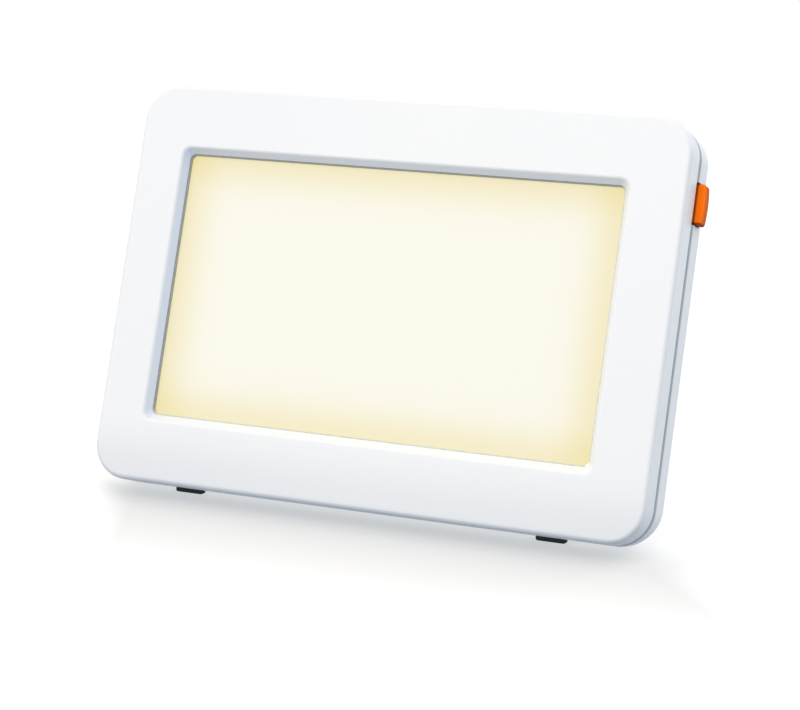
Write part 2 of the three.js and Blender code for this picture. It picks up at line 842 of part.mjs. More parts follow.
// A closed switch body with its plunger bore and two solder tabs below
function switchBody() {
  const body = block(
    switchLeft,
    switchRight,
    buttonCentre - switchWidth / 2,
    switchBack,
    switchBottom,
    buttonHeight + switchHeight / 2,
  );
  const bore = rodX(
    buttonCentre,
    buttonHeight,
    plungerRadius + fitGap,
    switchRight - plungerIn - buttonTravel - fitGap,
    switchRight + overrun,
  );
  const tabs = [-1, 1].map((sign) => block(
    switchX + sign * terminalSpread - terminalThickness / 2,
    switchX + sign * terminalSpread + terminalThickness / 2,
    buttonCentre - terminalWidth / 2,
    buttonCentre + terminalWidth / 2,
    switchBottom - terminalLength,
    switchBottom + overrun,
  ));
  return join([body.subtract(bore), ...tabs]);
}

// The driver board with its three headers
function driverBoard() {
  const shape = roundedShape(driverWidth / 2, driverHeight / 2, boardCorner, driverCentre, driverRise);
  const board = plate(shape, driverFront, driverBack);
  const front = driverFront - headerDepth;
  const middle = driverFront + boardThickness / 2;
  const half = headerWidth / 2;
  const headers = [
    block(headerLeft, headerRight, front, middle, headerTop - headerHeight, headerTop),
    block(headerLeft, headerRight, front, middle, headerBottom, headerBottom + headerHeight),
    block(sideHeaderLeft, sideHeaderLeft + headerHeight, front, middle, -half, half),
  ];
  const holes = driverPosts.map(([x, z]) => rodY(x, z, screwRadius + fitGap, 0, bodyDepth));
  return cut(join([board, ...headers]), holes);
}

function driverInductor() {
  const z = driverRise + driverHeight * inductorShare;
  const profile = [
    [0, -inductorHeight],
    [inductorRadius, -inductorHeight],
    [inductorRadius, inductorFlange - inductorHeight],
    [inductorWaist, inductorFlange - inductorHeight],
    [inductorWaist, -inductorFlange],
    [inductorRadius, -inductorFlange],
    [inductorRadius, 0],
    [0, 0],
  ].map(([r, y]) => new THREE.Vector2(r, y));
  const reel = new THREE.LatheGeometry(profile, rodSides);
  return solid(reel.translate(driverCentre, driverFront - fitGap, z));
}

function driverCapacitor() {
  const profile = [
    [0, -capacitorHeight],
    [capacitorRadius - capacitorRim, -capacitorHeight],
    [capacitorRadius, capacitorRim - capacitorHeight],
    [capacitorRadius, 0],
    [0, 0],
  ].map(([r, y]) => new THREE.Vector2(r, y));
  const can = new THREE.LatheGeometry(profile, rodSides);
  return solid(can.translate(driverCentre + capacitorOffset, driverFront - fitGap, capacitorRise));
}

function driverChip() {
  const z = capacitorRise - capacitorRadius - chipGap - chipHeight / 2;
  const base = driverFront - fitGap;
  return block(
    driverCentre - chipWidth / 2,
    driverCentre + chipWidth / 2,
    base - chipThickness,
    base,
    z - chipHeight / 2,
    z + chipHeight / 2,
  );
}

// A barrel socket: body, nose through the back wall, bore with its centre pin, and solder tabs
function dcJack() {
  const back = backInner - fitGap;
  const mouth = bodyDepth - fitGap;
  const body = block(
    jackX - jackWidth / 2,
    jackX + jackWidth / 2,
    jackFront,
    back,
    jackRise - jackHeight / 2,
    jackRise + jackHeight / 2,
  );
  const nose = rodY(jackX, jackRise, jackNoseRadius, back - overrun, mouth);
  const bore = rodY(jackX, jackRise, jackBoreRadius, mouth - jackBoreDepth, mouth + overrun);
  const pin = rodY(jackX, jackRise, jackPinRadius, mouth - jackBoreDepth - overrun, mouth - jackPinBack);
  const tabs = [-1, 1].map((sign) => block(
    jackX + sign * terminalSpread - terminalThickness / 2,
    jackX + sign * terminalSpread + terminalThickness / 2,
    jackFront - terminalLength,
    jackFront + overrun,
    jackRise - terminalWidth / 2,
    jackRise + terminalWidth / 2,
  ));
  return join([join([body, nose]).subtract(bore), pin, ...tabs]);
}

// A round lead through hand-placed points
function lead(points) {
  const path = new THREE.CatmullRomCurve3(points.map(([x, y, z]) => new THREE.Vector3(x, y, z)));
  const section = new THREE.Shape().absarc(0, 0, leadRadius, 0, Math.PI * 2);
  const extrusion = { steps: leadSteps, extrudePath: path, curveSegments: screwSides / 2 };
  return solid(new THREE.ExtrudeGeometry(section, { ...extrusion, bevelEnabled: false }));
}

function jackLead() {
  const start = jackFront - terminalLength - fitGap - leadRadius;
  return lead([
    [jackX, start, jackRise - leadDrop],
    [jackX, start, jackRise],
    [(jackX + headerX) / 2, start + leadRadius, jackRise + jackHeight / 2],
    [headerX, headerMiddle, headerBottom - leadDrop],
    [headerX, headerMiddle, headerBottom - fitGap],
  ]);
}

function switchLead() {
  const start = switchBottom - terminalLength - fitGap;
  return lead([
    [switchX, buttonCentre, start],
    [switchX, buttonCentre, start - leadDrop],
    [headerX, headerMiddle, headerTop + leadDrop],
    [headerX, headerMiddle, headerTop + fitGap],
  ]);
}

function boardLead() {
  const left = connectorRight + fitGap;
  const right = sideHeaderLeft - fitGap;
  const middle = (left + right) / 2;
  const depth = ledBoardBack + leadRadius + fitGap;
  return lead([
    [left, depth, 0],
    [middle, (depth + headerMiddle) / 2, 0],
    [right, headerMiddle, 0],
  ]);
}

function standPin() {
  return rodX(pivotDepth, pivotHeight, pinRadius, -pinHalf, pinHalf);
}

// Washers between the leg and the pocket's sides
function hingeWasher(sign) {
  const middle = sign * (pocketHalf + legWidth / 2) / 2;
  const half = washerThickness / 2;
  const disc = rodX(pivotDepth, pivotHeight, pinBore + washerWall, middle - half, middle + half);
  return disc.subtract(rodX(pivotDepth, pivotHeight, pinBore, -pinHalf, pinHalf));
}

// The leg is drawn folded, hanging straight down from its pin at y = 0, z = 0
function legBlank() {
  const middle = (heelReach + legEnd) / 2;
  const shape = roundedShape(legHalf, (heelReach - legEnd) / 2, legRim, 0, middle);
  const knuckle = rodX(0, 0, thickHalf, -legHalf, legHalf);
  return plate(shape, -thickHalf, thickHalf).add(knuckle);
}

// Hollows on the inner face that leave a rim and a grid of ribs
function legHollows() {
  const hollows = [];
  const top = -thickHalf - legRim;
  const bottom = legEnd + padTongueDepth + legRim + legRib;
  const width = (legWidth - legRim * 2 - legRib * (legBays - 1)) / legBays;
  const height = (top - bottom - legRib * (legBays - 1)) / legBays;
  for (let column = 0; column < legBays; column += 1) {
    for (let row = 0; row < legBays; row += 1) {
      const x = legRim - legHalf + column * (width + legRib);
      const z = bottom + row * (height + legRib);
      hollows.push(block(x, x + width, -thickHalf - overrun, thickHalf - legSkin, z, z + height));
    }
  }
  return hollows;
}

function standLeg() {
  const bore = rodX(0, 0, pinBore, -legHalf - overrun, legHalf + overrun);
  const slotHalf = padTongue / 2 + fitGap;
  const slotEnd = legHalf - legCorner + fitGap;
  const slotTop = legEnd + padTongueDepth + fitGap;
  const slot = block(-slotEnd, slotEnd, -slotHalf, slotHalf, legEnd - overrun, slotTop);
  const leg = cut(legBlank(), [...legHollows(), bore, slot]);
  const stop = pivotDepth - pocketFloor - fitGap;
  return leg.trimByPlane([0, Math.cos(standOpen), -Math.sin(standOpen)], -stop);
}

// A rubber strip on the end of the leg, its sole level with the table when the stand is open
function standPad() {
  const half = legHalf - legRim;
  const top = legEnd - fitGap;
  const bottom = -legReach - legThickness;
  const shape = roundedShape(half, (top - bottom) / 2, legRim, 0, (top + bottom) / 2);
  const strip = plate(shape, -thickHalf, thickHalf);
  const tongueHalf = legHalf - legCorner;
  const thick = padTongue / 2;
  const tongue = block(-tongueHalf, tongueHalf, -thick, thick, top - overrun, legEnd + padTongueDepth);
  const sole = strip.trimByPlane([0, Math.sin(legLean), Math.cos(legLean)], -pivotDrop);
  return sole.add(tongue);
}

// Assembly
const lamp = new THREE.Group();
const body = new THREE.Group();
body.rotation.x = -lean;
body.position.z = tableDrop;
lamp.add(body);

body.add(piece('front_bezel', frontBezel(), glossWhite));
body.add(piece('rear_cover', rearCover(), coverWhite));
body.add(piece('diffuser_screen', diffuserScreen(), litOpal));
body.add(piece('screen_gasket', screenGasket(), foamGrey));
body.add(piece('reflector_frame', reflectorFrame(), innerWhite));
body.add(piece('led_board', ledBoard(), boardWhite));
body.add(piece('heat_spreader', heatSpreader(), aluminium));
body.add(piece('driver_board', driverBoard(), boardGreen));
body.add(piece('driver_inductor', driverInductor(), ferrite));
body.add(piece('driver_capacitor', driverCapacitor(), blackPlastic));
body.add(piece('driver_chip', driverChip(), blackPlastic));
body.add(piece('dc_jack', dcJack(), blackPlastic));
body.add(piece('switch_body', switchBody(), blackPlastic));
body.add(piece('switch_plunger', switchPlunger(), innerWhite));
body.add(piece('power_button', powerButton(), orange));
body.add(piece('foot_left', foot(-1), blackRubber));
body.add(piece('foot_right', foot(1), blackRubber));
body.add(piece('jack_lead', jackLead(), blackPlastic));
body.add(piece('switch_lead', switchLead(), blackPlastic));
body.add(piece('board_lead', boardLead(), blackPlastic));
body.add(piece('stand_pin', standPin(), steel));
body.add(piece('hinge_washer_left', hingeWasher(-1), innerWhite));
body.add(piece('hinge_washer_right', hingeWasher(1), innerWhite));
coverPosts.forEach(([x, z], i) => {
  body.add(piece(`cover_screw_${i + 1}`, screw(x, z, headSeat, bossWeb + fitGap + screwBite), steel));
});
boardPosts.forEach(([x, z], i) => {
  body.add(piece(`board_screw_${i + 1}`, screw(x, z, spreaderBack + fitGap, boardScrewBite), steel));
});
driverPosts.forEach(([x, z], i) => {
  const shape = screw(x, z, driverFront - fitGap, driverStandoff, Math.PI);
  body.add(piece(`driver_screw_${i + 1}`, shape, steel));
});

const stand = new THREE.Group();
stand.position.set(0, pivotDepth, pivotHeight);
stand.rotation.x = standOpen;
stand.add(piece('stand_leg', standLeg(), coverWhite));
stand.add(piece('stand_pad', standPad(), blackRubber));
body.add(stand);

// The origin lies on the table, under the middle of the lamp's width and depth
const extent = new THREE.Box3().setFromObject(lamp, true);
body.position.x = -(extent.min.x + extent.max.x) / 2;
body.position.y = -(extent.min.y + extent.max.y) / 2;

export default lamp;
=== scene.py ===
import json
import math

import bmesh
import bpy
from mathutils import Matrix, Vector


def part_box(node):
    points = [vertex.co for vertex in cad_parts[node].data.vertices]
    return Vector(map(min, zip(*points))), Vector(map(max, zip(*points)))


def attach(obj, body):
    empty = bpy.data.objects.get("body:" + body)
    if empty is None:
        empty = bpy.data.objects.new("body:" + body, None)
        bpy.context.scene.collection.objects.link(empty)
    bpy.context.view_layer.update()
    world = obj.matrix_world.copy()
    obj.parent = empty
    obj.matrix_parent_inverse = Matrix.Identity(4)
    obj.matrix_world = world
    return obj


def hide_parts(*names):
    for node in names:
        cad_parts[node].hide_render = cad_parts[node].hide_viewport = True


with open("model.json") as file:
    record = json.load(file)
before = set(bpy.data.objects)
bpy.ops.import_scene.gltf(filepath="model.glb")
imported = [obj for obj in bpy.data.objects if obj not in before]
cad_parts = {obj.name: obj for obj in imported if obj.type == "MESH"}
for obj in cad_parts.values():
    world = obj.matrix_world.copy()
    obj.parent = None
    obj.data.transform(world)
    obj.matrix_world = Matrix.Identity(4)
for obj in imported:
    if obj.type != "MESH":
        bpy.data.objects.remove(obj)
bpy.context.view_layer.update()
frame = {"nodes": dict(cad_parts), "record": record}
mm = 0.001
near = 0.02  # mm, for finding edges and faces by their place
tiny = 0.000001  # m, the tolerance of cuts and merges
overrun = 1.0  # mm, how far a tool runs past what it cuts, or a piece into what it joins
facing = 0.9  # how far a face's normal turns along an axis to count as facing it
smallSides = 32  # of small rods and bores
print("frame loaded:", len(frame["nodes"]), "nodes")


photoCamera = {
    "lens": 100.0,  # mm
    "sensor": 36.0,  # mm
    "tilt": 74.89,  # degrees up from straight down
    "heading": 22.30,  # degrees
    "place": (0.354576, -0.863905, 0.315873),  # m
    "reach": 50.0,  # m
}


def addCamera(look):
    turn = (math.radians(look["tilt"]), 0, math.radians(look["heading"]))
    bpy.ops.object.camera_add(location=look["place"], rotation=turn)
    camera = bpy.context.object
    camera.name = "photo_camera"
    camera.data.lens = look["lens"]
    camera.data.sensor_width = look["sensor"]
    camera.data.clip_end = look["reach"]
    bpy.context.scene.camera = camera


addCamera(photoCamera)
print("camera placed")


studio = {
    "floorSide": 16.0,  # m
    "floorColor": (0.48, 0.465, 0.45),
    "floorRoughness": 0.9,
    "floorSpecular": 0.1,
    # painted shadow: the floor's glow is weaker and tinted near the lamp, where the lamp's shadow falls
    "floorGlowAndPaintedShadow": (0.335, 0.60),  # near the lamp and far from it, keeps the paper white
    "floorTints": ((0.97, 1.0, 1.02), (0.985, 0.99, 0.98)),
    # the places in m between which the near glow, weak as a painted shadow, turns into the far one
    "depthFades": [(-0.04, -0.165), (-0.058, -0.015)],  # to the front and to the back
    "sideFades": [(0.082, 0.12), (-0.114, -0.138)],  # to the right and to the left
    "sideTurn": 30.3,  # degrees by which the fades to the sides are turned
    "skyColor": (0.86, 0.90, 0.96),
    "lowColor": (0.27, 0.325, 0.41),  # what surfaces that face down see
    "horizon": (-0.25, 0.25),  # heights between which the low colour turns into the sky's
    # place, aim point, size in m, power in W, colour
    "lamps": {
        "left_softbox": ((-1.6, -2.15, 1.85), (0.0, 0.0, 0.08), 2.8, 39.5, (1.0, 0.87, 0.68)),
        "top_softbox": ((0.1, -0.45, 0.75), (0.0, 0.0, 0.1), 0.5, 0.8, (1.0, 0.96, 0.9)),
        "right_softbox": ((0.9, 1.1, 0.6), (0.0, 0.0, 0.08), 0.9, 5.5, (1.0, 0.98, 0.95)),
    },
}


def addSoftbox(name, place, aim, size, power, color):
    bpy.ops.object.light_add(type="AREA", location=place)
    lamp = bpy.context.object
    lamp.name = name
    lamp.rotation_euler = (Vector(aim) - Vector(place)).to_track_quat("-Z", "Y").to_euler()
    lamp.data.shape = "SQUARE"
    lamp.data.size = size
    lamp.data.energy = power
    lamp.data.color = color


def addStudio(look):
    bpy.ops.mesh.primitive_plane_add(size=look["floorSide"], location=(0, 0, 0))
    floor = bpy.context.object
    floor.name = "studio_floor"
    paper = bpy.data.materials.new("floor_paper")
    paper.use_nodes = True
    shader = paper.node_tree.nodes["Principled BSDF"]
    shader.inputs["Base Color"].default_value = (*look["floorColor"], 1)
    shader.inputs["Roughness"].default_value = look["floorRoughness"]
    shader.inputs["Specular IOR Level"].default_value = look["floorSpecular"]
    addFloorGlowAndPaintedShadow(paper.node_tree, shader, look)
    floor.data.materials.append(paper)
    floor.visible_diffuse = False  # the object is lit by the studio alone
    for name, values in look["lamps"].items():
        addSoftbox(name, *values)
    addSky(look)
    bpy.context.scene.view_settings.view_transform = "Standard"


def addFloorGlowAndPaintedShadow(tree, shader, look):
    # the paper's own glow keeps it white far off, and is weaker near the lamp as a painted shadow over the
    # lamps' real one
    share = 0.0
    for axis, turn, fades in (("Y", 0, look["depthFades"]), ("X", look["sideTurn"], look["sideFades"])):
        place = tree.nodes.new("ShaderNodeTexCoord")
        turned = tree.nodes.new("ShaderNodeMapping")
        turned.inputs["Rotation"].default_value = (0, 0, -math.radians(turn))
        parts = tree.nodes.new("ShaderNodeSeparateXYZ")
        tree.links.new(place.outputs["Object"], turned.inputs["Vector"])
        tree.links.new(turned.outputs["Vector"], parts.inputs["Vector"])
        for start, end in fades:
            share = addMath(tree, "MAXIMUM", share, addRamp(tree, parts.outputs[axis], start, end))
    low, high = look["floorGlowAndPaintedShadow"]
    glow = addMath(tree, "ADD", addMath(tree, "MULTIPLY", share, high - low), low)
    tree.links.new(glow, shader.inputs["Emission Strength"])
    tree.links.new(mixColors(tree, share, *look["floorTints"]), shader.inputs["Emission Color"])


def addRamp(tree, value, start, end):
    ramp = tree.nodes.new("ShaderNodeMapRange")
    ramp.interpolation_type = "SMOOTHSTEP"
    ramp.inputs["From Min"].default_value = start
    ramp.inputs["From Max"].default_value = end
    tree.links.new(value, ramp.inputs["Value"])
    return ramp.outputs["Result"]


def addSky(look):
    world = bpy.data.worlds.new("studio_world")
    world.use_nodes = True
    tree = world.node_tree
    place = tree.nodes.new("ShaderNodeTexCoord")
    parts = tree.nodes.new("ShaderNodeSeparateXYZ")
    tree.links.new(place.outputs["Generated"], parts.inputs["Vector"])
    height = addRamp(tree, parts.outputs["Z"], *look["horizon"])
    color = mixColors(tree, height, look["lowColor"], look["skyColor"])
    tree.links.new(color, tree.nodes["Background"].inputs["Color"])
    bpy.context.scene.world = world


def addMath(tree, operation, first, second=None):
    node = tree.nodes.new("ShaderNodeMath")
    node.operation = operation
    for socket, value in zip(node.inputs, (first, second)):
        if isinstance(value, (int, float)):
            socket.default_value = value
        elif value is not None:
            tree.links.new(value, socket)
    return node.outputs["Value"]


def colorSockets(sockets):
    return [socket for socket in sockets if socket.type == "RGBA"]


def mixColors(tree, value, first, second):
    mix = tree.nodes.new("ShaderNodeMix")
    mix.data_type = "RGBA"
    for socket, color in zip(colorSockets(mix.inputs), (first, second)):
        socket.default_value = (*color, 1)
    tree.links.new(value, mix.inputs["Factor"])
    return colorSockets(mix.outputs)[0]


addStudio(studio)
print("studio lit")


# The housing's own frame, in mm: x to the right, y the depth behind the front face, z up from mid-height
housing = {
    "width": 254.2,
    "height": 177.0,
    "depth": 33.6,
    "corner": 16.0,
    "cornerSteps": 16,
    "frontRound": 1.9,
    "leastRound": 0.5,  # of the hollow's front edge
    "frontSteps": 12,
    "rearRound": 4.0,
    "lowerRearRound": 12.0,
    "rearSteps": 10,
    "wall": 2.5,
    "leanDegrees": 21.72,
    "sideDraft": 1.4,  # how much narrower the front face is on each side
    "frontShift": 1.7,  # how far it lies to the right of the middle
    "screenDepth": 7.05,  # of the screen's middle
}
lean = math.radians(housing["leanDegrees"])
screenMiddle = sum(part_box("diffuser_screen"), Vector()) / 2
screenDepth = housing["screenDepth"] * mm
housingPlace = screenMiddle - Vector((0, screenDepth * math.cos(lean), -screenDepth * math.sin(lean)))


def clearSelection():
    if bpy.context.mode != "OBJECT":
        bpy.ops.object.mode_set(mode="OBJECT")
    bpy.ops.object.select_all(action="DESELECT")


def makeActive(piece):
    clearSelection()
    piece.select_set(True)
    bpy.context.view_layer.objects.active = piece


def around(middle, half):
    return middle - half, middle + half


def addBlock(name, x, y, z):
    # each of x, y and z is the two places in mm between which it lies
    clearSelection()
    bpy.ops.mesh.primitive_cube_add(size=1, location=[(low + high) / 2 * mm for low, high in (x, y, z)])
    block = bpy.context.object
    block.name = name
    block.scale = [(high - low) * mm for low, high in (x, y, z)]
    bpy.ops.object.transform_apply(location=True, rotation=False, scale=True)
    return block


def addRod(name, along, radius, span, at, sides=64):
    # along is "X", with at = (y, z), or "Y", with at = (x, z)
    clearSelection()
    middle = (span[0] + span[1]) / 2
    place = (middle, at[0], at[1]) if along == "X" else (at[0], middle, at[1])
    turn = (0, math.pi / 2, 0) if along == "X" else (math.pi / 2, 0, 0)
    bpy.ops.mesh.primitive_cylinder_add(
        vertices=sides,
        radius=radius * mm,
        depth=(span[1] - span[0]) * mm,
        location=[value * mm for value in place],
        rotation=turn,
    )
    rod = bpy.context.object
    rod.name = name
    bpy.ops.object.transform_apply(location=True, rotation=True, scale=True)
    return rod


def startSelection(piece, kind):
    makeActive(piece)
    bpy.ops.object.mode_set(mode="EDIT")
    bpy.ops.mesh.select_mode(type=kind)
    bpy.ops.mesh.select_all(action="DESELECT")
    return bmesh.from_edit_mesh(piece.data)


def selectEdges(piece, wanted):
    mesh = startSelection(piece, "EDGE")
    for edge in mesh.edges:
        if wanted(*(vert.co / mm for vert in edge.verts)):
            edge.select_set(True)
    bmesh.update_edit_mesh(piece.data)


def selectFaces(piece, wanted):
    mesh = startSelection(piece, "FACE")
    for face in mesh.faces:
        if wanted(face.calc_center_median() / mm, face.normal):
            face.select_set(True)
    bmesh.update_edit_mesh(piece.data)


def bevelEdges(piece, wanted, radius, steps):
    selectEdges(piece, wanted)
    bpy.ops.mesh.bevel(offset=radius * mm, segments=steps, affect="EDGES", clamp_overlap=False)
    bpy.ops.object.mode_set(mode="OBJECT")


def alongAxis(axis):
    others = [i for i in range(3) if i != "XYZ".index(axis)]
    return lambda a, b: all(abs(a[i] - b[i]) < near for i in others)


def atPlace(axis, value):
    i = "XYZ".index(axis)
    return lambda a, b: abs(a[i] - value) < near and abs(b[i] - value) < near


def combine(piece, tool, operation):
    makeActive(piece)
    modifier = piece.modifiers.new("shape", "BOOLEAN")
    modifier.operation = operation
    modifier.solver = "EXACT"
    modifier.object = tool
    bpy.ops.object.modifier_apply(modifier=modifier.name)
    bpy.data.objects.remove(tool)


def unite(piece, *tools):
    for tool in tools:
        combine(piece, tool, "UNION")


def cutAway(piece, *tools):
    for tool in tools:
        combine(piece, tool, "DIFFERENCE")


def cutFlat(piece, place, normal):
    # takes away what lies behind a plane and closes the cut
    makeActive(piece)
    bpy.ops.object.mode_set(mode="EDIT")
    bpy.ops.mesh.select_all(action="SELECT")
    bpy.ops.mesh.bisect(plane_co=place, plane_no=normal, use_fill=True, clear_inner=True, threshold=tiny)
    bpy.ops.object.mode_set(mode="OBJECT")


def cutLevel(piece):
    # the sole lies flat on the table
    cutFlat(piece, (0, 0, 0), (0, 0, 1))


def addPlate(name, halfX, halfZ, radius, y, steps=8):
    # a slab with four rounded corners, seen from the front
    slab = addBlock(name, around(0, halfX), y, around(0, halfZ))
    bevelEdges(slab, alongAxis("Y"), radius, steps)
    return slab


def softenRear(slab, depth, radius, lowerRadius, bottom):
    # one bevel whose width grows round the lower corners
    weights = slab.data.attributes.new("bevel_weight_edge", "FLOAT", "EDGE")
    for edge in slab.data.edges:
        ends = [slab.data.vertices[i].co / mm for i in edge.vertices]
        if not atPlace("Y", depth)(*ends):
            continue
        height = (ends[0].z + ends[1].z) / 2 - bottom
        share = max(0.0, 1 - height / housing["corner"])
        weights.data[edge.index].value = (radius + (lowerRadius - radius) * share) / lowerRadius
    modifier = slab.modifiers.new("rear_edge", "BEVEL")
    modifier.limit_method = "WEIGHT"
    modifier.width = lowerRadius * mm
    modifier.segments = housing["rearSteps"]
    modifier.use_clamp_overlap = False
    makeActive(slab)
    bpy.ops.object.modifier_apply(modifier=modifier.name)


def addHousingForm(name, skin, y, front=False, rear=False):
    size = housing
    halfX = size["width"] / 2 - skin
    halfZ = size["height"] / 2 - skin
    slab = addPlate(name, halfX, halfZ, size["corner"] - skin, y, size["cornerSteps"])
    if front:
        selectFaces(slab, lambda middle, normal: normal.y < -facing)
        share = 1 - size["sideDraft"] / halfX
        bpy.ops.transform.resize(value=(share, 1, 1), center_override=(0, 0, 0))
        bpy.ops.transform.translate(value=(size["frontShift"] * mm, 0, 0))
        bpy.ops.object.mode_set(mode="OBJECT")
        radius = max(size["frontRound"] - skin, size["leastRound"])
        bevelEdges(slab, atPlace("Y", y[0]), radius, size["frontSteps"])
    if rear:
        softenRear(slab, y[1], size["rearRound"] - skin, size["lowerRearRound"] - skin, -halfZ)
    return slab


def placePiece(piece, turn=0.0, at=(0, 0, 0)):
    # from the housing's frame, or the stand's, to the world
    x, y, z = (value * mm for value in at)
    piece.rotation_euler = (turn - lean, 0, 0)
    piece.location = housingPlace + Vector((
        x,
        y * math.cos(lean) + z * math.sin(lean),
        z * math.cos(lean) - y * math.sin(lean),
    ))
    makeActive(piece)
    bpy.ops.object.transform_apply(location=True, rotation=True, scale=True)


def finishPiece(piece, body, slot, nodes=(), smoothDegrees=32):
    makeActive(piece)
    bpy.ops.object.mode_set(mode="EDIT")
    bpy.ops.mesh.select_all(action="SELECT")
    bpy.ops.mesh.remove_doubles(threshold=2 * tiny)
    bpy.ops.object.mode_set(mode="OBJECT")
    bpy.ops.object.shade_smooth_by_angle(angle=math.radians(smoothDegrees))
    modifier = piece.modifiers.new("normals", "WEIGHTED_NORMAL")
    modifier.keep_sharp = True
    bpy.ops.object.modifier_apply(modifier=modifier.name)
    piece.data.materials.clear()
    piece.data.materials.append(materials[slot])
    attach(piece, body)
    if nodes:
        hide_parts(*nodes)


def startMaterial(name):
    material = bpy.data.materials.new(name)
    material.use_nodes = True
    tree = material.node_tree
    return material, tree, tree.nodes["Principled BSDF"]


noiseLook = {
    "cloudDetail": 4,
    "grainDetail": 3,
    "roughness": 0.6,
    "range": (0.3, 0.7),  # where most of its values lie
}


def addNoise(tree, scale, detail, stretch=(1, 1, 1)):
    # noise on the object's own coordinates, upright with the leaning housing
    place = tree.nodes.new("ShaderNodeTexCoord")
    upright = tree.nodes.new("ShaderNodeMapping")
    upright.inputs["Rotation"].default_value = (lean, 0, 0)
    upright.inputs["Scale"].default_value = stretch
    noise = tree.nodes.new("ShaderNodeTexNoise")
    noise.inputs["Scale"].default_value = scale
    noise.inputs["Detail"].default_value = detail
    noise.inputs["Roughness"].default_value = noiseLook["roughness"]
    tree.links.new(place.outputs["Object"], upright.inputs["Vector"])
    tree.links.new(upright.outputs["Vector"], noise.inputs["Vector"])
    return noise.outputs["Fac"]


def spread(tree, value, low, high):
    # noise, spread over a range of its own
    ramp = tree.nodes.new("ShaderNodeMapRange")
    least, most = noiseLook["range"]
    for name, number in (("From Min", least), ("From Max", most), ("To Min", low), ("To Max", high)):
        ramp.inputs[name].default_value = number
    tree.links.new(value, ramp.inputs["Value"])
    return ramp.outputs["Result"]


def addHousingParts(tree, origin):
    # the place in the leaning housing's own directions, counted from an origin in the world
    place = tree.nodes.new("ShaderNodeTexCoord")
    upright = tree.nodes.new("ShaderNodeMapping")
    upright.vector_type = "TEXTURE"
    upright.inputs["Location"].default_value = origin
    upright.inputs["Rotation"].default_value = (-lean, 0, 0)
    parts = tree.nodes.new("ShaderNodeSeparateXYZ")
    tree.links.new(place.outputs["Object"], upright.inputs["Vector"])
    tree.links.new(upright.outputs["Vector"], parts.inputs["Vector"])
    return parts.outputs


def addFade(tree, axis, start, end):
    # 0 at the start and 1 at the end, along the housing's width, depth or height
    return addRamp(tree, addHousingParts(tree, housingPlace)[axis], start * mm, end * mm)


def addFades(tree, fades):
    # several fades in one, each an axis with its start and end
    value = addFade(tree, *fades[0])
    for fade in fades[1:]:
        value = addMath(tree, "MULTIPLY", value, addFade(tree, *fade))
    return value


def addPaintedShade(tree, color, tint, *fades):
    # a painted shade or painted light: a tint over a colour, where all its fades have set in
    mix = tree.nodes.new("ShaderNodeMix")
    mix.data_type = "RGBA"
    mix.blend_type = "MULTIPLY"
    colors = colorSockets(mix.inputs)
    tree.links.new(color, colors[0])
    colors[1].default_value = (*tint, 1)
    tree.links.new(addFades(tree, fades), mix.inputs["Factor"])
    return colorSockets(mix.outputs)[0]


def makeFinish(name, look):
    material, tree, shader = startMaterial(name)
    clouds = spread(tree, addNoise(tree, look["cloudScale"], noiseLook["cloudDetail"]), 0, 1)
    grain = addNoise(tree, look["grainScale"], noiseLook["grainDetail"], look.get("stretch", (1, 1, 1)))
    color = mixColors(tree, clouds, look["color"], look["secondColor"])
    for shade in look.get("paintedShades", []):
        color = addPaintedShade(tree, color, *shade)
    tree.links.new(color, shader.inputs["Base Color"])
    tree.links.new(spread(tree, grain, *look["roughness"]), shader.inputs["Roughness"])
    bump = tree.nodes.new("ShaderNodeBump")
    bump.inputs["Strength"].default_value = look["bump"]
    bump.inputs["Distance"].default_value = look["bumpDepth"]
    tree.links.new(grain, bump.inputs["Height"])
    tree.links.new(bump.outputs["Normal"], shader.inputs["Normal"])
    shader.inputs["Metallic"].default_value = look.get("metallic", 0.0)
    shader.inputs["Specular IOR Level"].default_value = look.get("specular", 0.5)
    if "glow" in look:
        addPaintedGlow(tree, shader, look)
    return material


def addPaintedGlow(tree, shader, look):
    # painted light: a glow on a part of a piece that gives off no light, where all the glow's fades have set
    # in
    strength = addMath(tree, "MULTIPLY", addFades(tree, look["glowFades"]), look["glowStrength"])
    tree.links.new(strength, shader.inputs["Emission Strength"])
    shader.inputs["Emission Color"].default_value = (*look["glow"], 1)


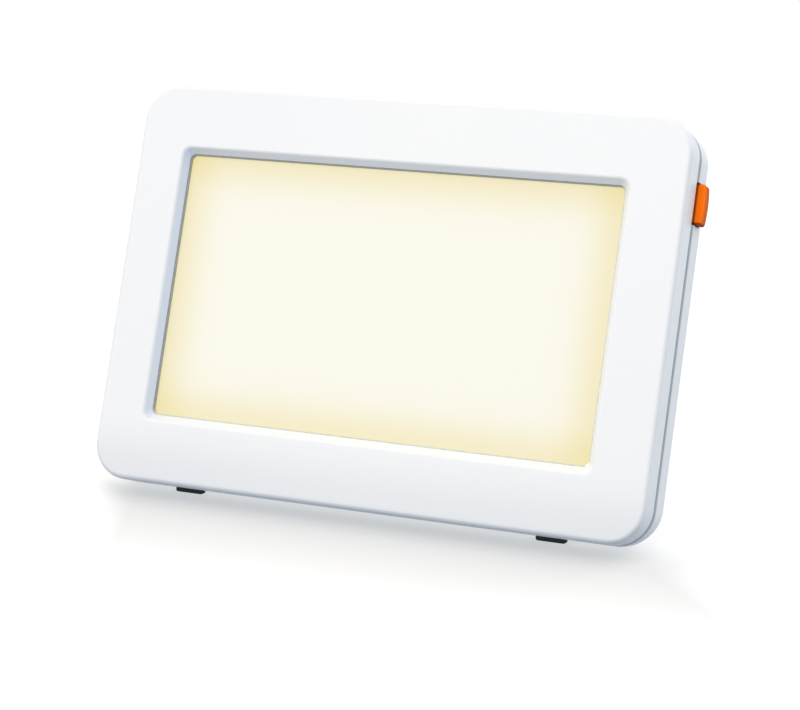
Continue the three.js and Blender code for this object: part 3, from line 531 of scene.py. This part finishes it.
finishes = {
    # each painted shade is a tint that stands in for light and shade, with the axes and places in mm between
    # which it sets in
    # painted shade on the shell: darker towards the bottom and along its lower edge, on the right side,
    # along the top edge and towards the left, and bluish on the left and top lips
    "shell_white": {"color": (0.866, 0.87, 0.875), "secondColor": (0.856, 0.862, 0.868), "cloudScale": 12,
                    "grainScale": 900, "roughness": (0.27, 0.33), "bump": 0.012, "bumpDepth": 0.0002,
                    "paintedShades": [((0.87, 0.885, 0.905), ("Z", -58, -86)),
                               ((0.87, 0.89, 0.9), ("Z", -85.5, -87.5)),
                               ((0.88, 0.91, 0.91), ("Y", 1.5, 3), ("X", 119, 124)),
                               ((0.92, 0.92, 0.925), ("Y", 0.3, 1.0), ("Z", 84, 86)),
                               ((0.972, 0.976, 0.988), ("X", 20, -105)),
                               ((0.86, 0.93, 1.04), ("Y", 0.3, 1.2), ("X", -99, -100), ("X", -107, -105),
                                ("Z", 66, 63), ("Z", -66, -63)),
                               ((0.94, 0.98, 1.06), ("Y", 0.3, 1.2), ("Z", 57, 58.5), ("Z", 66, 64),
                                ("X", -107, -105), ("X", 107, 105))]},
    # painted shade: the cover darkens towards its front edge, inside the parting groove
    "cover_white": {"color": (0.85, 0.86, 0.87), "secondColor": (0.83, 0.845, 0.857), "cloudScale": 14,
                    "grainScale": 2600, "roughness": (0.42, 0.55), "bump": 0.12, "bumpDepth": 0.0002,
                    "paintedShades": [((0.6, 0.63, 0.64), ("Y", 18.5, 17.7))]},
    "inner_white": {"color": (0.9, 0.9, 0.9), "secondColor": (0.86, 0.86, 0.85), "cloudScale": 25,
                    "grainScale": 1800, "roughness": (0.5, 0.65), "bump": 0.1, "bumpDepth": 0.0002},
    "button_orange": {"color": (0.93, 0.17, 0.004), "secondColor": (0.88, 0.155, 0.003), "cloudScale": 60,
                      "grainScale": 2600, "roughness": (0.6, 0.7), "bump": 0.1, "bumpDepth": 0.0002,
                      # painted light: the button glows on its front wall, as if brightly lit
                      "specular": 0.05, "glow": (1.0, 0.16, 0.004), "glowStrength": 0.36,
                      "glowFades": [("Y", 20.5, 18.5), ("X", 126.6, 127.6), ("Z", 47.6, 48.6)],
                      # painted shade: darker outlines at the button's root and its lower and upper ends, and
                      # a darker side face
                      "paintedShades": [((0.5, 0.47, 0.6), ("X", 127.5, 126.5)),
                                 ((0.5, 0.47, 0.6), ("Z", 48.4, 47.6)),
                                 ((0.6, 0.57, 0.7), ("Z", 63.5, 64.3)),
                                 ((0.78, 0.8, 0.6), ("Y", 20.5, 24))]},
    "rubber_black": {"color": (0.011, 0.012, 0.014), "secondColor": (0.018, 0.019, 0.02), "cloudScale": 180,
                     "grainScale": 3200, "roughness": (0.68, 0.85), "bump": 0.35, "bumpDepth": 0.0002},
    "plastic_black": {"color": (0.015, 0.016, 0.018), "secondColor": (0.022, 0.023, 0.025), "cloudScale": 90,
                      "grainScale": 2600, "roughness": (0.38, 0.52), "bump": 0.15, "bumpDepth": 0.0002},
    "board_green": {"color": (0.015, 0.12, 0.045), "secondColor": (0.02, 0.16, 0.065), "cloudScale": 420,
                    "grainScale": 1500, "roughness": (0.28, 0.4), "bump": 0.1, "bumpDepth": 0.0001},
    "board_white": {"color": (0.88, 0.885, 0.88), "secondColor": (0.83, 0.84, 0.83), "cloudScale": 300,
                    "grainScale": 1500, "roughness": (0.3, 0.42), "bump": 0.08, "bumpDepth": 0.0001},
    "sheet_aluminium": {"color": (0.74, 0.75, 0.77), "secondColor": (0.68, 0.69, 0.71), "cloudScale": 30,
                        "grainScale": 1400, "roughness": (0.25, 0.42), "bump": 0.12, "bumpDepth": 0.0001,
                        "stretch": (0.03, 1, 1), "metallic": 1.0},
    "bright_steel": {"color": (0.6, 0.61, 0.63), "secondColor": (0.5, 0.51, 0.53), "cloudScale": 200,
                     "grainScale": 3000, "roughness": (0.22, 0.38), "bump": 0.12, "bumpDepth": 0.0001,
                     "metallic": 1.0},
    # painted light: the gasket is lighter on its right and lower strips
    "foam_grey": {"color": (0.33, 0.345, 0.31), "secondColor": (0.43, 0.445, 0.40), "cloudScale": 700,
                  "grainScale": 1800, "roughness": (0.85, 0.97), "bump": 0.6, "bumpDepth": 0.0004,
                  "paintedShades": [((1.9, 1.85, 1.8), ("X", 98, 100)), ((1.7, 1.7, 1.65), ("Z", -56, -58))]},
    "ferrite_dark": {"color": (0.03, 0.031, 0.034), "secondColor": (0.045, 0.046, 0.05), "cloudScale": 300,
                     "grainScale": 2400, "roughness": (0.45, 0.65), "bump": 0.3, "bumpDepth": 0.0002,
                     "metallic": 0.4},
}

litScreen = {
    "halfSizes": {"X": 100.0, "Z": 58.0},
    "fade": 12.0,  # how fast the yellow edge fades inwards
    "cornerShare": 0.5,  # what the edges share at a corner
    "centreColor": (0.782, 0.765, 0.669),
    "edgeColor": (0.698, 0.60, 0.275),
    "glow": 1.0,
    "baseColor": (0.16, 0.158, 0.148),
    "grainScale": 2200,
    "roughness": (0.5, 0.62),
    "specular": 0.25,
}


def addEdgeFade(tree, place, half, fade):
    # 1 at the screen's edge and less inwards, along a bell curve
    inward = addMath(tree, "SUBTRACT", half * mm, addMath(tree, "ABSOLUTE", place))
    square = addMath(tree, "POWER", addMath(tree, "DIVIDE", inward, fade * mm), 2)
    return addMath(tree, "EXPONENT", addMath(tree, "MULTIPLY", square, -1))


def makeLitScreen(name, look):
    material, tree, shader = startMaterial(name)
    parts = addHousingParts(tree, screenMiddle)
    fades = [addEdgeFade(tree, parts[axis], half, look["fade"]) for axis, half in look["halfSizes"].items()]
    # both edges count at a corner, less what they share
    both = addMath(tree, "ADD", *fades)
    shared = addMath(tree, "MULTIPLY", addMath(tree, "MULTIPLY", *fades), look["cornerShare"])
    edge = addMath(tree, "DIVIDE", addMath(tree, "SUBTRACT", both, shared), 2 - look["cornerShare"])
    color = mixColors(tree, edge, look["centreColor"], look["edgeColor"])
    tree.links.new(color, shader.inputs["Emission Color"])
    grain = addNoise(tree, look["grainScale"], noiseLook["grainDetail"])
    tree.links.new(spread(tree, grain, *look["roughness"]), shader.inputs["Roughness"])
    shader.inputs["Emission Strength"].default_value = look["glow"]
    shader.inputs["Base Color"].default_value = (*look["baseColor"], 1)
    shader.inputs["Specular IOR Level"].default_value = look["specular"]
    return material


materials = {name: makeFinish(name + "_finish", look) for name, look in finishes.items()}
materials["lit_opal"] = makeLitScreen("lit_opal_finish", litScreen)


def dressPieces():
    # each piece takes the finish of its slot in the record
    slots = {row["node"]: row["material_slot"] for row in frame["record"]["subparts"]}
    for name, node in frame["nodes"].items():
        node.data.materials.clear()
        node.data.materials.append(materials[slots[name]])


dressPieces()
print("finishes made")


# Here and below, an edge, corner, round or rim in brackets is its radius and its number of steps
bezelShape = {
    "depth": 14.5,
    "backEdge": (0.5, 4),
    "hollowEnd": 30.0,  # past the bezel's back
    "tongueRoom": 3.6,
    "rebateWall": 1.1,
    "screen": (200.0, 116.0),
    "screenCorner": 2.5,
    "lipReveal": 0.6,  # how far the gasket shows inside the lip
    "lipCorner": 2.8,
    "lipDepth": 4.0,
    "lipSlope": 2.3,
    "lowerLipSlope": 3.0,
    "lipRound": (0.8, 5),
    "mouthCorner": 4.0,
    "plate": (102.0, 60.0),  # half the size of the screen's plate
    "rimWall": 2.5,
    "rimCorner": 6.7,
    "rimDepth": (1.25, 8.6),
    "seatRoom": 0.3,
    "seatCorner": 4.5,
}


def addLipTool(size):
    # a straight well with a sloped mouth, which reaches further down than up
    halfX, halfZ = (value / 2 + size["lipReveal"] for value in size["screen"])
    depth = size["lipDepth"]
    slope = size["lipSlope"]
    extra = (size["lowerLipSlope"] - slope) / 2
    tool = addPlate("lip_tool", halfX, halfZ, size["lipCorner"], (depth, size["hollowEnd"]))
    mouth = addPlate("mouth_tool", halfX + slope, halfZ + slope + extra, size["mouthCorner"], (-overrun, 0))
    mouth.location.z = -extra * mm
    makeActive(mouth)
    bpy.ops.object.transform_apply(location=True, rotation=False, scale=False)
    makeActive(tool)
    mouth.select_set(True)
    bpy.ops.object.join()
    selectFaces(tool, lambda middle, normal: -near < middle.y < depth + near and abs(normal.y) > facing)
    bpy.ops.mesh.bridge_edge_loops()
    bpy.ops.object.mode_set(mode="OBJECT")
    return tool


def makeFrontBezel(size):
    bezel = addHousingForm("frontBezel", 0, (0, size["depth"]), front=True)
    bevelEdges(bezel, atPlace("Y", size["depth"]), *size["backEdge"])
    end = size["hollowEnd"]
    hollow = addHousingForm("hollow_tool", housing["wall"], (housing["wall"], end), front=True)
    rebate = addHousingForm("rebate_tool", size["rebateWall"], (size["depth"] - size["tongueRoom"], end))
    cutAway(bezel, hollow, rebate)
    rimX, rimZ = (half + size["rimWall"] for half in size["plate"])
    unite(bezel, addPlate("rim", rimX, rimZ, size["rimCorner"], size["rimDepth"]))
    seatX, seatZ = (half + size["seatRoom"] for half in size["plate"])
    seat = addPlate("seat_tool", seatX, seatZ, size["seatCorner"], (size["lipDepth"], end))
    cutAway(bezel, seat, addLipTool(size))
    reach = size["lipReveal"] + size["lowerLipSlope"] + near
    edgeX, edgeZ = (value / 2 + reach for value in size["screen"])

    def onLip(a, b):
        inside = all(abs(point.x) < edgeX and abs(point.z) < edgeZ for point in (a, b))
        return inside and atPlace("Y", 0)(a, b)

    bevelEdges(bezel, onLip, *size["lipRound"])
    placePiece(bezel)
    finishPiece(bezel, "housing", "shell_white", ["front_bezel"])


makeFrontBezel(bezelShape)
print("front bezel modelled")


gasketShape = {
    "depth": (4.3, 5.5),
    "corner": 4.5,
    "edge": (0.35, 3),
}


def makeScreenGasket(size):
    gasket = addPlate("screenGasket", *bezelShape["plate"], size["corner"], size["depth"])
    halfX, halfZ = (value / 2 for value in bezelShape["screen"])
    start, end = size["depth"]
    through = (start - overrun, end + overrun)
    cutAway(gasket, addPlate("window_tool", halfX, halfZ, bezelShape["screenCorner"], through))

    def onWindow(a, b):
        inside = all(abs(point.x) < halfX + near and abs(point.z) < halfZ + near for point in (a, b))
        return inside and atPlace("Y", start)(a, b)

    bevelEdges(gasket, onWindow, *size["edge"])
    placePiece(gasket)
    finishPiece(gasket, "housing", "foam_grey", ["screen_gasket"])


makeScreenGasket(gasketShape)
print("screen gasket modelled")


coverShape = {
    "start": 17.3,
    "end": housing["depth"],
    "frontEdge": (0.8, 4),
    "hollowStart": 5.0,  # in front of the cover
    "innerEnd": 32.0,  # inside the back wall, where bosses and cups end
    "backRoom": 30.0,  # in front of the back wall, where its holes start
    "tongueStart": 11.6,
    "tongueSkin": 1.4,
    "pocketHalf": 31.0,
    "pocketFloor": 26.4,
    "pocketTop": 32.1,
    "pocketWall": 1.8,
    "scoopHeight": -61.094,
    "scoopRadius": 8.0,
    "scoopFloor": 27.6,
    "pivot": (30.4, 24.0),
    "pinHalf": 36.0,
    "pinRoom": 0.3,
    "pinBore": 1.55,
    "pinBoss": 4.5,  # half its height
    "pinBossGap": 0.9,
    # cover screws, from the upper left as seen from the front
    "screws": [(-111.1, 72.5), (0, 72.5), (111.1, 72.5),
               (-111.1, -72.5), (-46, -72.5), (46, -72.5), (111.1, -72.5)],
    "headRoom": 3.1,
    "headSeat": 19.1,
    "bossWall": 1.5,
    "bossGap": 0.1,  # behind the cover's front
    "screwRoom": 1.8,
    "screwDepth": (0.0, 25.0),  # of the shafts' holes, from in front of the cover
    "ventWidth": 2.0,
    "ventSteps": 6,
    "ventLength": 26.0,
    "ventPitch": 7.0,
    "ventFirst": 54.0,
    "ventCount": 5,
    "ventMiddles": (46.0, -46.0),
    "jack": (114.55, -56.0),
    "jackRoom": 4.2,
    "jackSides": 48,
    "notch": (55.8, 9.0),  # the button's, its middle and half its length
    "notchDepth": 3.5,
    "notchEnd": 26.9,
    "footMiddles": (-85.4, 83.2),
    "footRoom": (6.9, 1.7),  # half its width, and its height
    "footDepth": (20.7, 24.3),
}


def addCoverSolids(size):
    half = size["pocketHalf"]
    wall = size["pocketWall"]
    halfZ = housing["height"] / 2
    box = addBlock("pocket", around(0, half + wall), (size["pocketFloor"] - wall, size["end"]),
                   (-halfZ, size["pocketTop"] + wall))
    combine(box, addHousingForm("outer_tool", 0, (size["start"], size["end"]), rear=True), "INTERSECT")
    solids = [box]
    depth, height = size["pivot"]
    for sign in (-1, 1):
        ends = sorted((sign * (half + size["pinBossGap"]), sign * (size["pinHalf"] + wall)))
        solids.append(addBlock("pin_boss", ends, (size["pocketFloor"] - wall, size["innerEnd"]),
                               around(height, size["pinBoss"])))
        cupDepth = (size["scoopFloor"] - wall, size["innerEnd"])
        at = (sign * half, size["scoopHeight"])
        solids.append(addRod("scoop_cup", "Y", size["scoopRadius"] + wall, cupDepth, at))
    bossRadius = size["headRoom"] + size["bossWall"]
    bossDepth = (size["start"] + size["bossGap"], size["innerEnd"])
    for at in size["screws"]:
        solids.append(addRod("boss", "Y", bossRadius, bossDepth, at, smallSides))
    return solids


def addCoverTools(size):
    half = size["pocketHalf"]
    halfX = housing["width"] / 2
    below = -housing["height"] / 2 - overrun
    out = size["end"] + overrun
    pocketDepth = (size["pocketFloor"], out)
    tools = [addBlock("pocket_tool", around(0, half), pocketDepth, (below, size["pocketTop"]))]
    boreSpan = around(0, size["pinHalf"] + size["pinRoom"])
    tools.append(addRod("bore_tool", "X", size["pinBore"], boreSpan, size["pivot"], smallSides))
    for sign in (-1, 1):
        at = (sign * half, size["scoopHeight"])
        tools.append(addRod("scoop_tool", "Y", size["scoopRadius"], (size["scoopFloor"], out), at))
    reach, seat = size["footRoom"]
    for middle in size["footMiddles"]:
        tools.append(addBlock("foot_tool", around(middle, reach), size["footDepth"],
                              (below, seat - housing["height"] / 2)))
    for at in size["screws"]:
        tools.append(addRod("head_tool", "Y", size["headRoom"], (size["headSeat"], out), at, smallSides))
        tools.append(addRod("screw_tool", "Y", size["screwRoom"], size["screwDepth"], at, smallSides))
    jackSpan = (size["backRoom"], out)
    tools.append(addRod("jack_tool", "Y", size["jackRoom"], jackSpan, size["jack"], size["jackSides"]))
    tools.append(addBlock("notch_tool", (halfX - size["notchDepth"], halfX + overrun),
                          (size["start"] - overrun, size["notchEnd"]), around(*size["notch"])))
    return tools


def addVentTool(size, sign, middle):
    # one slot with round ends, repeated along its row
    x = sign * size["ventFirst"]
    through = (size["backRoom"], size["end"] + overrun)
    slotHeight = around(middle, size["ventLength"] / 2)
    slot = addBlock("vent_tool", around(x, size["ventWidth"] / 2), through, slotHeight)
    bevelEdges(slot, alongAxis("Y"), size["ventWidth"] / 2 - near, size["ventSteps"])
    row = slot.modifiers.new("row", "ARRAY")
    row.count = size["ventCount"]
    row.use_relative_offset = False
    row.use_constant_offset = True
    row.constant_offset_displace = (sign * size["ventPitch"] * mm, 0, 0)
    makeActive(slot)
    bpy.ops.object.modifier_apply(modifier=row.name)
    return slot


def makeRearCover(size):
    cover = addHousingForm("rearCover", 0, (size["start"], size["end"]), rear=True)
    bevelEdges(cover, atPlace("Y", size["start"]), *size["frontEdge"])
    tongueDepth = (size["tongueStart"], size["start"] + overrun)
    unite(cover, addHousingForm("tongue", size["tongueSkin"], tongueDepth))
    hollowDepth = (size["hollowStart"], size["end"] - housing["wall"])
    cutAway(cover, addHousingForm("hollow_tool", housing["wall"], hollowDepth, rear=True))
    unite(cover, *addCoverSolids(size))
    cutAway(cover, *addCoverTools(size))
    for sign in (-1, 1):
        for middle in size["ventMiddles"]:
            cutAway(cover, addVentTool(size, sign, middle))
    placePiece(cover)
    finishPiece(cover, "housing", "cover_white", ["rear_cover"])


makeRearCover(coverShape)
print("rear cover modelled")


buttonShape = {
    "middle": (22.5, 55.9),  # depth, height
    "halfLength": 8.5,
    "halfWidth": 4.1,
    "root": 123.5,
    "face": 130.2,  # top of the crown
    "crown": 0.5,
    "crownSides": 512,
    "corner": 1.5,
    "cornerSteps": 8,
    "rim": (0.9, 4),
    "rimDepth": 1.0,  # below the face, where an edge still belongs to the rim
    "facet": 1.0,  # a longer edge across the crown is one of its facets
    "flange": ((122.7, 124.3), (16.6, 28.2)),
    "flangeHalf": 10.8,
    "stem": (121.1, 123.0),
    "stemHalf": 2.5,
}


def makePowerButton(size):
    depth, height = size["middle"]
    halfY, halfZ = size["halfWidth"], size["halfLength"]
    reach = (size["root"], size["face"])
    button = addBlock("powerButton", reach, around(depth, halfY), around(height, halfZ))
    bevelEdges(button, alongAxis("X"), size["corner"], size["cornerSteps"])
    radius = (halfZ ** 2 + size["crown"] ** 2) / (2 * size["crown"])
    across = around(depth, halfY + overrun)
    drum = addRod("crown_tool", "Y", radius, across, (size["face"] - radius, height), size["crownSides"])
    combine(button, drum, "INTERSECT")

    def onRim(a, b):
        outer = all(point.x > size["face"] - size["rimDepth"] for point in (a, b))
        middleY = (a.y + b.y) / 2 - depth
        middleZ = (a.z + b.z) / 2 - height
        atEdge = abs(middleY) > halfY - size["corner"] - near or abs(middleZ) > halfZ - size["corner"] - near
        onFacet = alongAxis("Y")(a, b) and abs(a.y - b.y) > size["facet"] and abs(middleZ) < halfZ - near
        return outer and atEdge and not onFacet

    bevelEdges(button, onRim, *size["rim"])
    unite(button, addBlock("flange", *size["flange"], around(height, size["flangeHalf"])))
    stemY, stemZ = (around(middle, size["stemHalf"]) for middle in size["middle"])
    unite(button, addBlock("stem", size["stem"], stemY, stemZ))
    placePiece(button)
    finishPiece(button, "button", "button_orange", ["power_button"])


makePowerButton(buttonShape)
print("power button modelled")


footShape = {
    "halfWidth": 6.6,
    "depth": (21.0, 24.0),
    "height": (-90.4, -87.1),
    "corner": (1.2, 5),
    "edge": (0.3, 3),
}


def makeFoot(name, node, x, size):
    foot = addBlock(name, around(x, size["halfWidth"]), size["depth"], size["height"])
    bevelEdges(foot, alongAxis("Y"), *size["corner"])
    for depth in size["depth"]:
        bevelEdges(foot, atPlace("Y", depth), *size["edge"])
    placePiece(foot)
    cutLevel(foot)
    finishPiece(foot, "housing", "rubber_black", [node])


makeFoot("footLeft", "foot_left", coverShape["footMiddles"][0], footShape)
makeFoot("footRight", "foot_right", coverShape["footMiddles"][1], footShape)
print("feet modelled")


# The leg's own frame: folded, hanging down from its pin at y = 0, z = 0
standShape = {
    "openDegrees": 38.0,
    "pivot": (0, *coverShape["pivot"]),
    "halfWidth": 30.0,
    "halfThick": 2.8,
    "top": 6.5,
    "bottom": -102.094,
    "skin": 1.8,
    "rim": 2.0,
    "rimSteps": 6,
    "rib": 1.5,
    "bays": 3,  # in each direction
    "bayCorner": (1.2, 4),
    "bayEdge": (0.6, 3),
    "solidEnd": 2.0,  # below the lowest bays, beside a rim and a rib
    "heelStop": 3.7,  # from the pin to the heel's flat
    "bore": coverShape["pinBore"],
    "tongueRoom": (22.3, 1.5, 2.3),  # half its width, half its thickness, and its height
    "edge": (0.5, 3),
}


def addLegHollow(size, column, row):
    halfX, halfY = size["halfWidth"], size["halfThick"]
    step = size["rib"]
    top = -halfY - size["rim"]
    bottom = size["bottom"] + size["solidEnd"] + size["rim"] + step
    width = (halfX * 2 - size["rim"] * 2 - step * (size["bays"] - 1)) / size["bays"]
    height = (top - bottom - step * (size["bays"] - 1)) / size["bays"]
    x = size["rim"] - halfX + column * (width + step)
    z = bottom + row * (height + step)
    floor = halfY - size["skin"]
    hollow = addBlock("hollow_tool", (x, x + width), (-halfY - overrun, floor), (z, z + height))
    bevelEdges(hollow, alongAxis("Y"), *size["bayCorner"])
    bevelEdges(hollow, atPlace("Y", floor), *size["bayEdge"])
    return hollow


def trimHeel(leg, size):
    # flat where it rests against the pocket's floor once the leg is open
    angle = math.radians(size["openDegrees"])
    normal = Vector((0, math.cos(angle), -math.sin(angle)))
    cutFlat(leg, -normal * size["heelStop"] * mm, normal)


def makeStandLeg(size):
    halfX, halfY = size["halfWidth"], size["halfThick"]
    leg = addBlock("standLeg", around(0, halfX), around(0, halfY), (size["bottom"], size["top"]))
    bevelEdges(leg, alongAxis("Y"), size["rim"], size["rimSteps"])
    for depth in (halfY, -halfY):
        bevelEdges(leg, atPlace("Y", depth), *size["edge"])
    for column in range(size["bays"]):
        for row in range(size["bays"]):
            cutAway(leg, addLegHollow(size, column, row))
    slotX, slotY, slotZ = size["tongueRoom"]
    cutAway(leg, addRod("bore_tool", "X", size["bore"], around(0, halfX + overrun), (0, 0), smallSides))
    cutAway(leg, addBlock("slot_tool", around(0, slotX), around(0, slotY),
                          (size["bottom"] - overrun, size["bottom"] + slotZ)))
    trimHeel(leg, size)
    placePiece(leg, math.radians(size["openDegrees"]), size["pivot"])
    finishPiece(leg, "stand", "cover_white", ["stand_leg"])


makeStandLeg(standShape)


padShape = {
    "halfWidth": 28.0,
    "top": -102.394,
    "bottom": -112.694,
    "corner": (2.0, 5),
    "edge": (0.3, 3),
    "tongue": (22.0, 1.2, -100.094),  # half its width, half its thickness, and its top
    "grooves": 5,
    "groovePitch": 10.0,
    "grooveHalf": 0.6,  # half its width
    "grooveDepth": 0.5,
    "grooveEnd": 1.2,  # below the pad's top
}


def makeStandPad(size):
    halfY = standShape["halfThick"]
    pad = addBlock("standPad", around(0, size["halfWidth"]), around(0, halfY), (size["bottom"], size["top"]))
    bevelEdges(pad, alongAxis("Y"), *size["corner"])
    for depth in (halfY, -halfY):
        bevelEdges(pad, atPlace("Y", depth), *size["edge"])
    tongueX, tongueY, tongueTop = size["tongue"]
    tongueZ = (size["top"] - overrun, tongueTop)
    unite(pad, addBlock("tongue", around(0, tongueX), around(0, tongueY), tongueZ))
    for i in range(size["grooves"]):
        x = (i - (size["grooves"] - 1) / 2) * size["groovePitch"]
        cutAway(pad, addBlock("groove_tool", around(x, size["grooveHalf"]),
                              (halfY - size["grooveDepth"], halfY + overrun),
                              (size["bottom"] - overrun, size["top"] - size["grooveEnd"])))
    placePiece(pad, math.radians(standShape["openDegrees"]), standShape["pivot"])
    cutLevel(pad)
    finishPiece(pad, "stand", "rubber_black", ["stand_pad"])


makeStandPad(padShape)
print("stand modelled")


screwShape = {
    "headRadius": 2.8,
    "headSides": 40,
    "headHeight": 1.8,
    "headRound": (0.6, 4),
    "shaftRadius": 1.5,
    "shaftLength": 12.5,
    "shaftInHead": 0.2,
    "tipEdge": (0.6, 2),
    "recessReach": 1.6,
    "recessWidth": 0.75,
    "recessDepth": 1.1,
    "seat": 19.4,
}


def makeScrewModel(size):
    seat = size["seat"]
    top = seat + size["headHeight"]
    tip = seat - size["shaftLength"]
    screw = addRod("coverScrew", "Y", size["headRadius"], (seat, top), (0, 0), size["headSides"])
    bevelEdges(screw, atPlace("Y", top), *size["headRound"])
    shaft = addRod("shaft", "Y", size["shaftRadius"], (tip, seat + size["shaftInHead"]), (0, 0), smallSides)
    bevelEdges(shaft, atPlace("Y", tip), *size["tipEdge"])
    unite(screw, shaft)
    reach, half = size["recessReach"], size["recessWidth"] / 2
    recessDepth = (top - size["recessDepth"], top + overrun)
    for across, up in ((reach, half), (half, reach)):
        cutAway(screw, addBlock("recess_tool", around(0, across), recessDepth, around(0, up)))
    return screw


def makeCoverScrews(size):
    # one model, copied to each place
    model = makeScrewModel(size)
    for i, (x, z) in enumerate(coverShape["screws"]):
        screw = model.copy()
        screw.data = model.data.copy()
        screw.name = "coverScrew" + str(i + 1)
        bpy.context.scene.collection.objects.link(screw)
        placePiece(screw, 0, (x, 0, z))
        finishPiece(screw, "housing", "bright_steel", ["cover_screw_" + str(i + 1)])
    bpy.data.objects.remove(model)


makeCoverScrews(screwShape)
print("cover screws modelled")


jackShape = {
    "at": coverShape["jack"],
    "halfWidth": 4.5,
    "halfHeight": 5.5,
    "depth": (19.3, 30.8),
    "edge": (0.4, 2),
    "mouth": 33.3,
    "mouthEdge": (0.25, 3),
    "noseRadius": 3.9,
    "boreRadius": 3.1,
    "boreDepth": 9.0,
    "pinRadius": 1.0,
    "pinRoot": 0.5,  # how deep it stands in the bore's floor
    "pinBack": 1.0,
    "pinEdge": (0.4, 4),
    "tabSpread": 1.2,
    "tabHalves": (0.3, 0.6),  # half its thickness and half its width
    "tabLength": 2.6,
}


def makeDcJack(size):
    x, z = size["at"]
    start, end = size["depth"]
    mouth = size["mouth"]
    floor = mouth - size["boreDepth"]
    jack = addBlock("dcJack", around(x, size["halfWidth"]), size["depth"], around(z, size["halfHeight"]))
    bevelEdges(jack, alongAxis("Y"), *size["edge"])
    nose = addRod("nose", "Y", size["noseRadius"], (end - overrun, mouth), (x, z))
    bevelEdges(nose, atPlace("Y", mouth), *size["mouthEdge"])
    unite(jack, nose)
    cutAway(jack, addRod("bore_tool", "Y", size["boreRadius"], (floor, mouth + overrun), (x, z)))
    halfThick, halfWide = size["tabHalves"]
    for sign in (-1, 1):
        tabX = around(x + sign * size["tabSpread"], halfThick)
        tabY = (start - size["tabLength"], start + overrun)
        unite(jack, addBlock("tab", tabX, tabY, around(z, halfWide)))
    placePiece(jack)
    finishPiece(jack, "housing", "plastic_black", ["dc_jack"])
    tip = mouth - size["pinBack"]
    pin = addRod("dcJackPin", "Y", size["pinRadius"], (floor - size["pinRoot"], tip), (x, z), smallSides)
    bevelEdges(pin, atPlace("Y", tip), *size["pinEdge"])
    placePiece(pin)
    finishPiece(pin, "housing", "bright_steel")


makeDcJack(jackShape)
print("jack modelled")
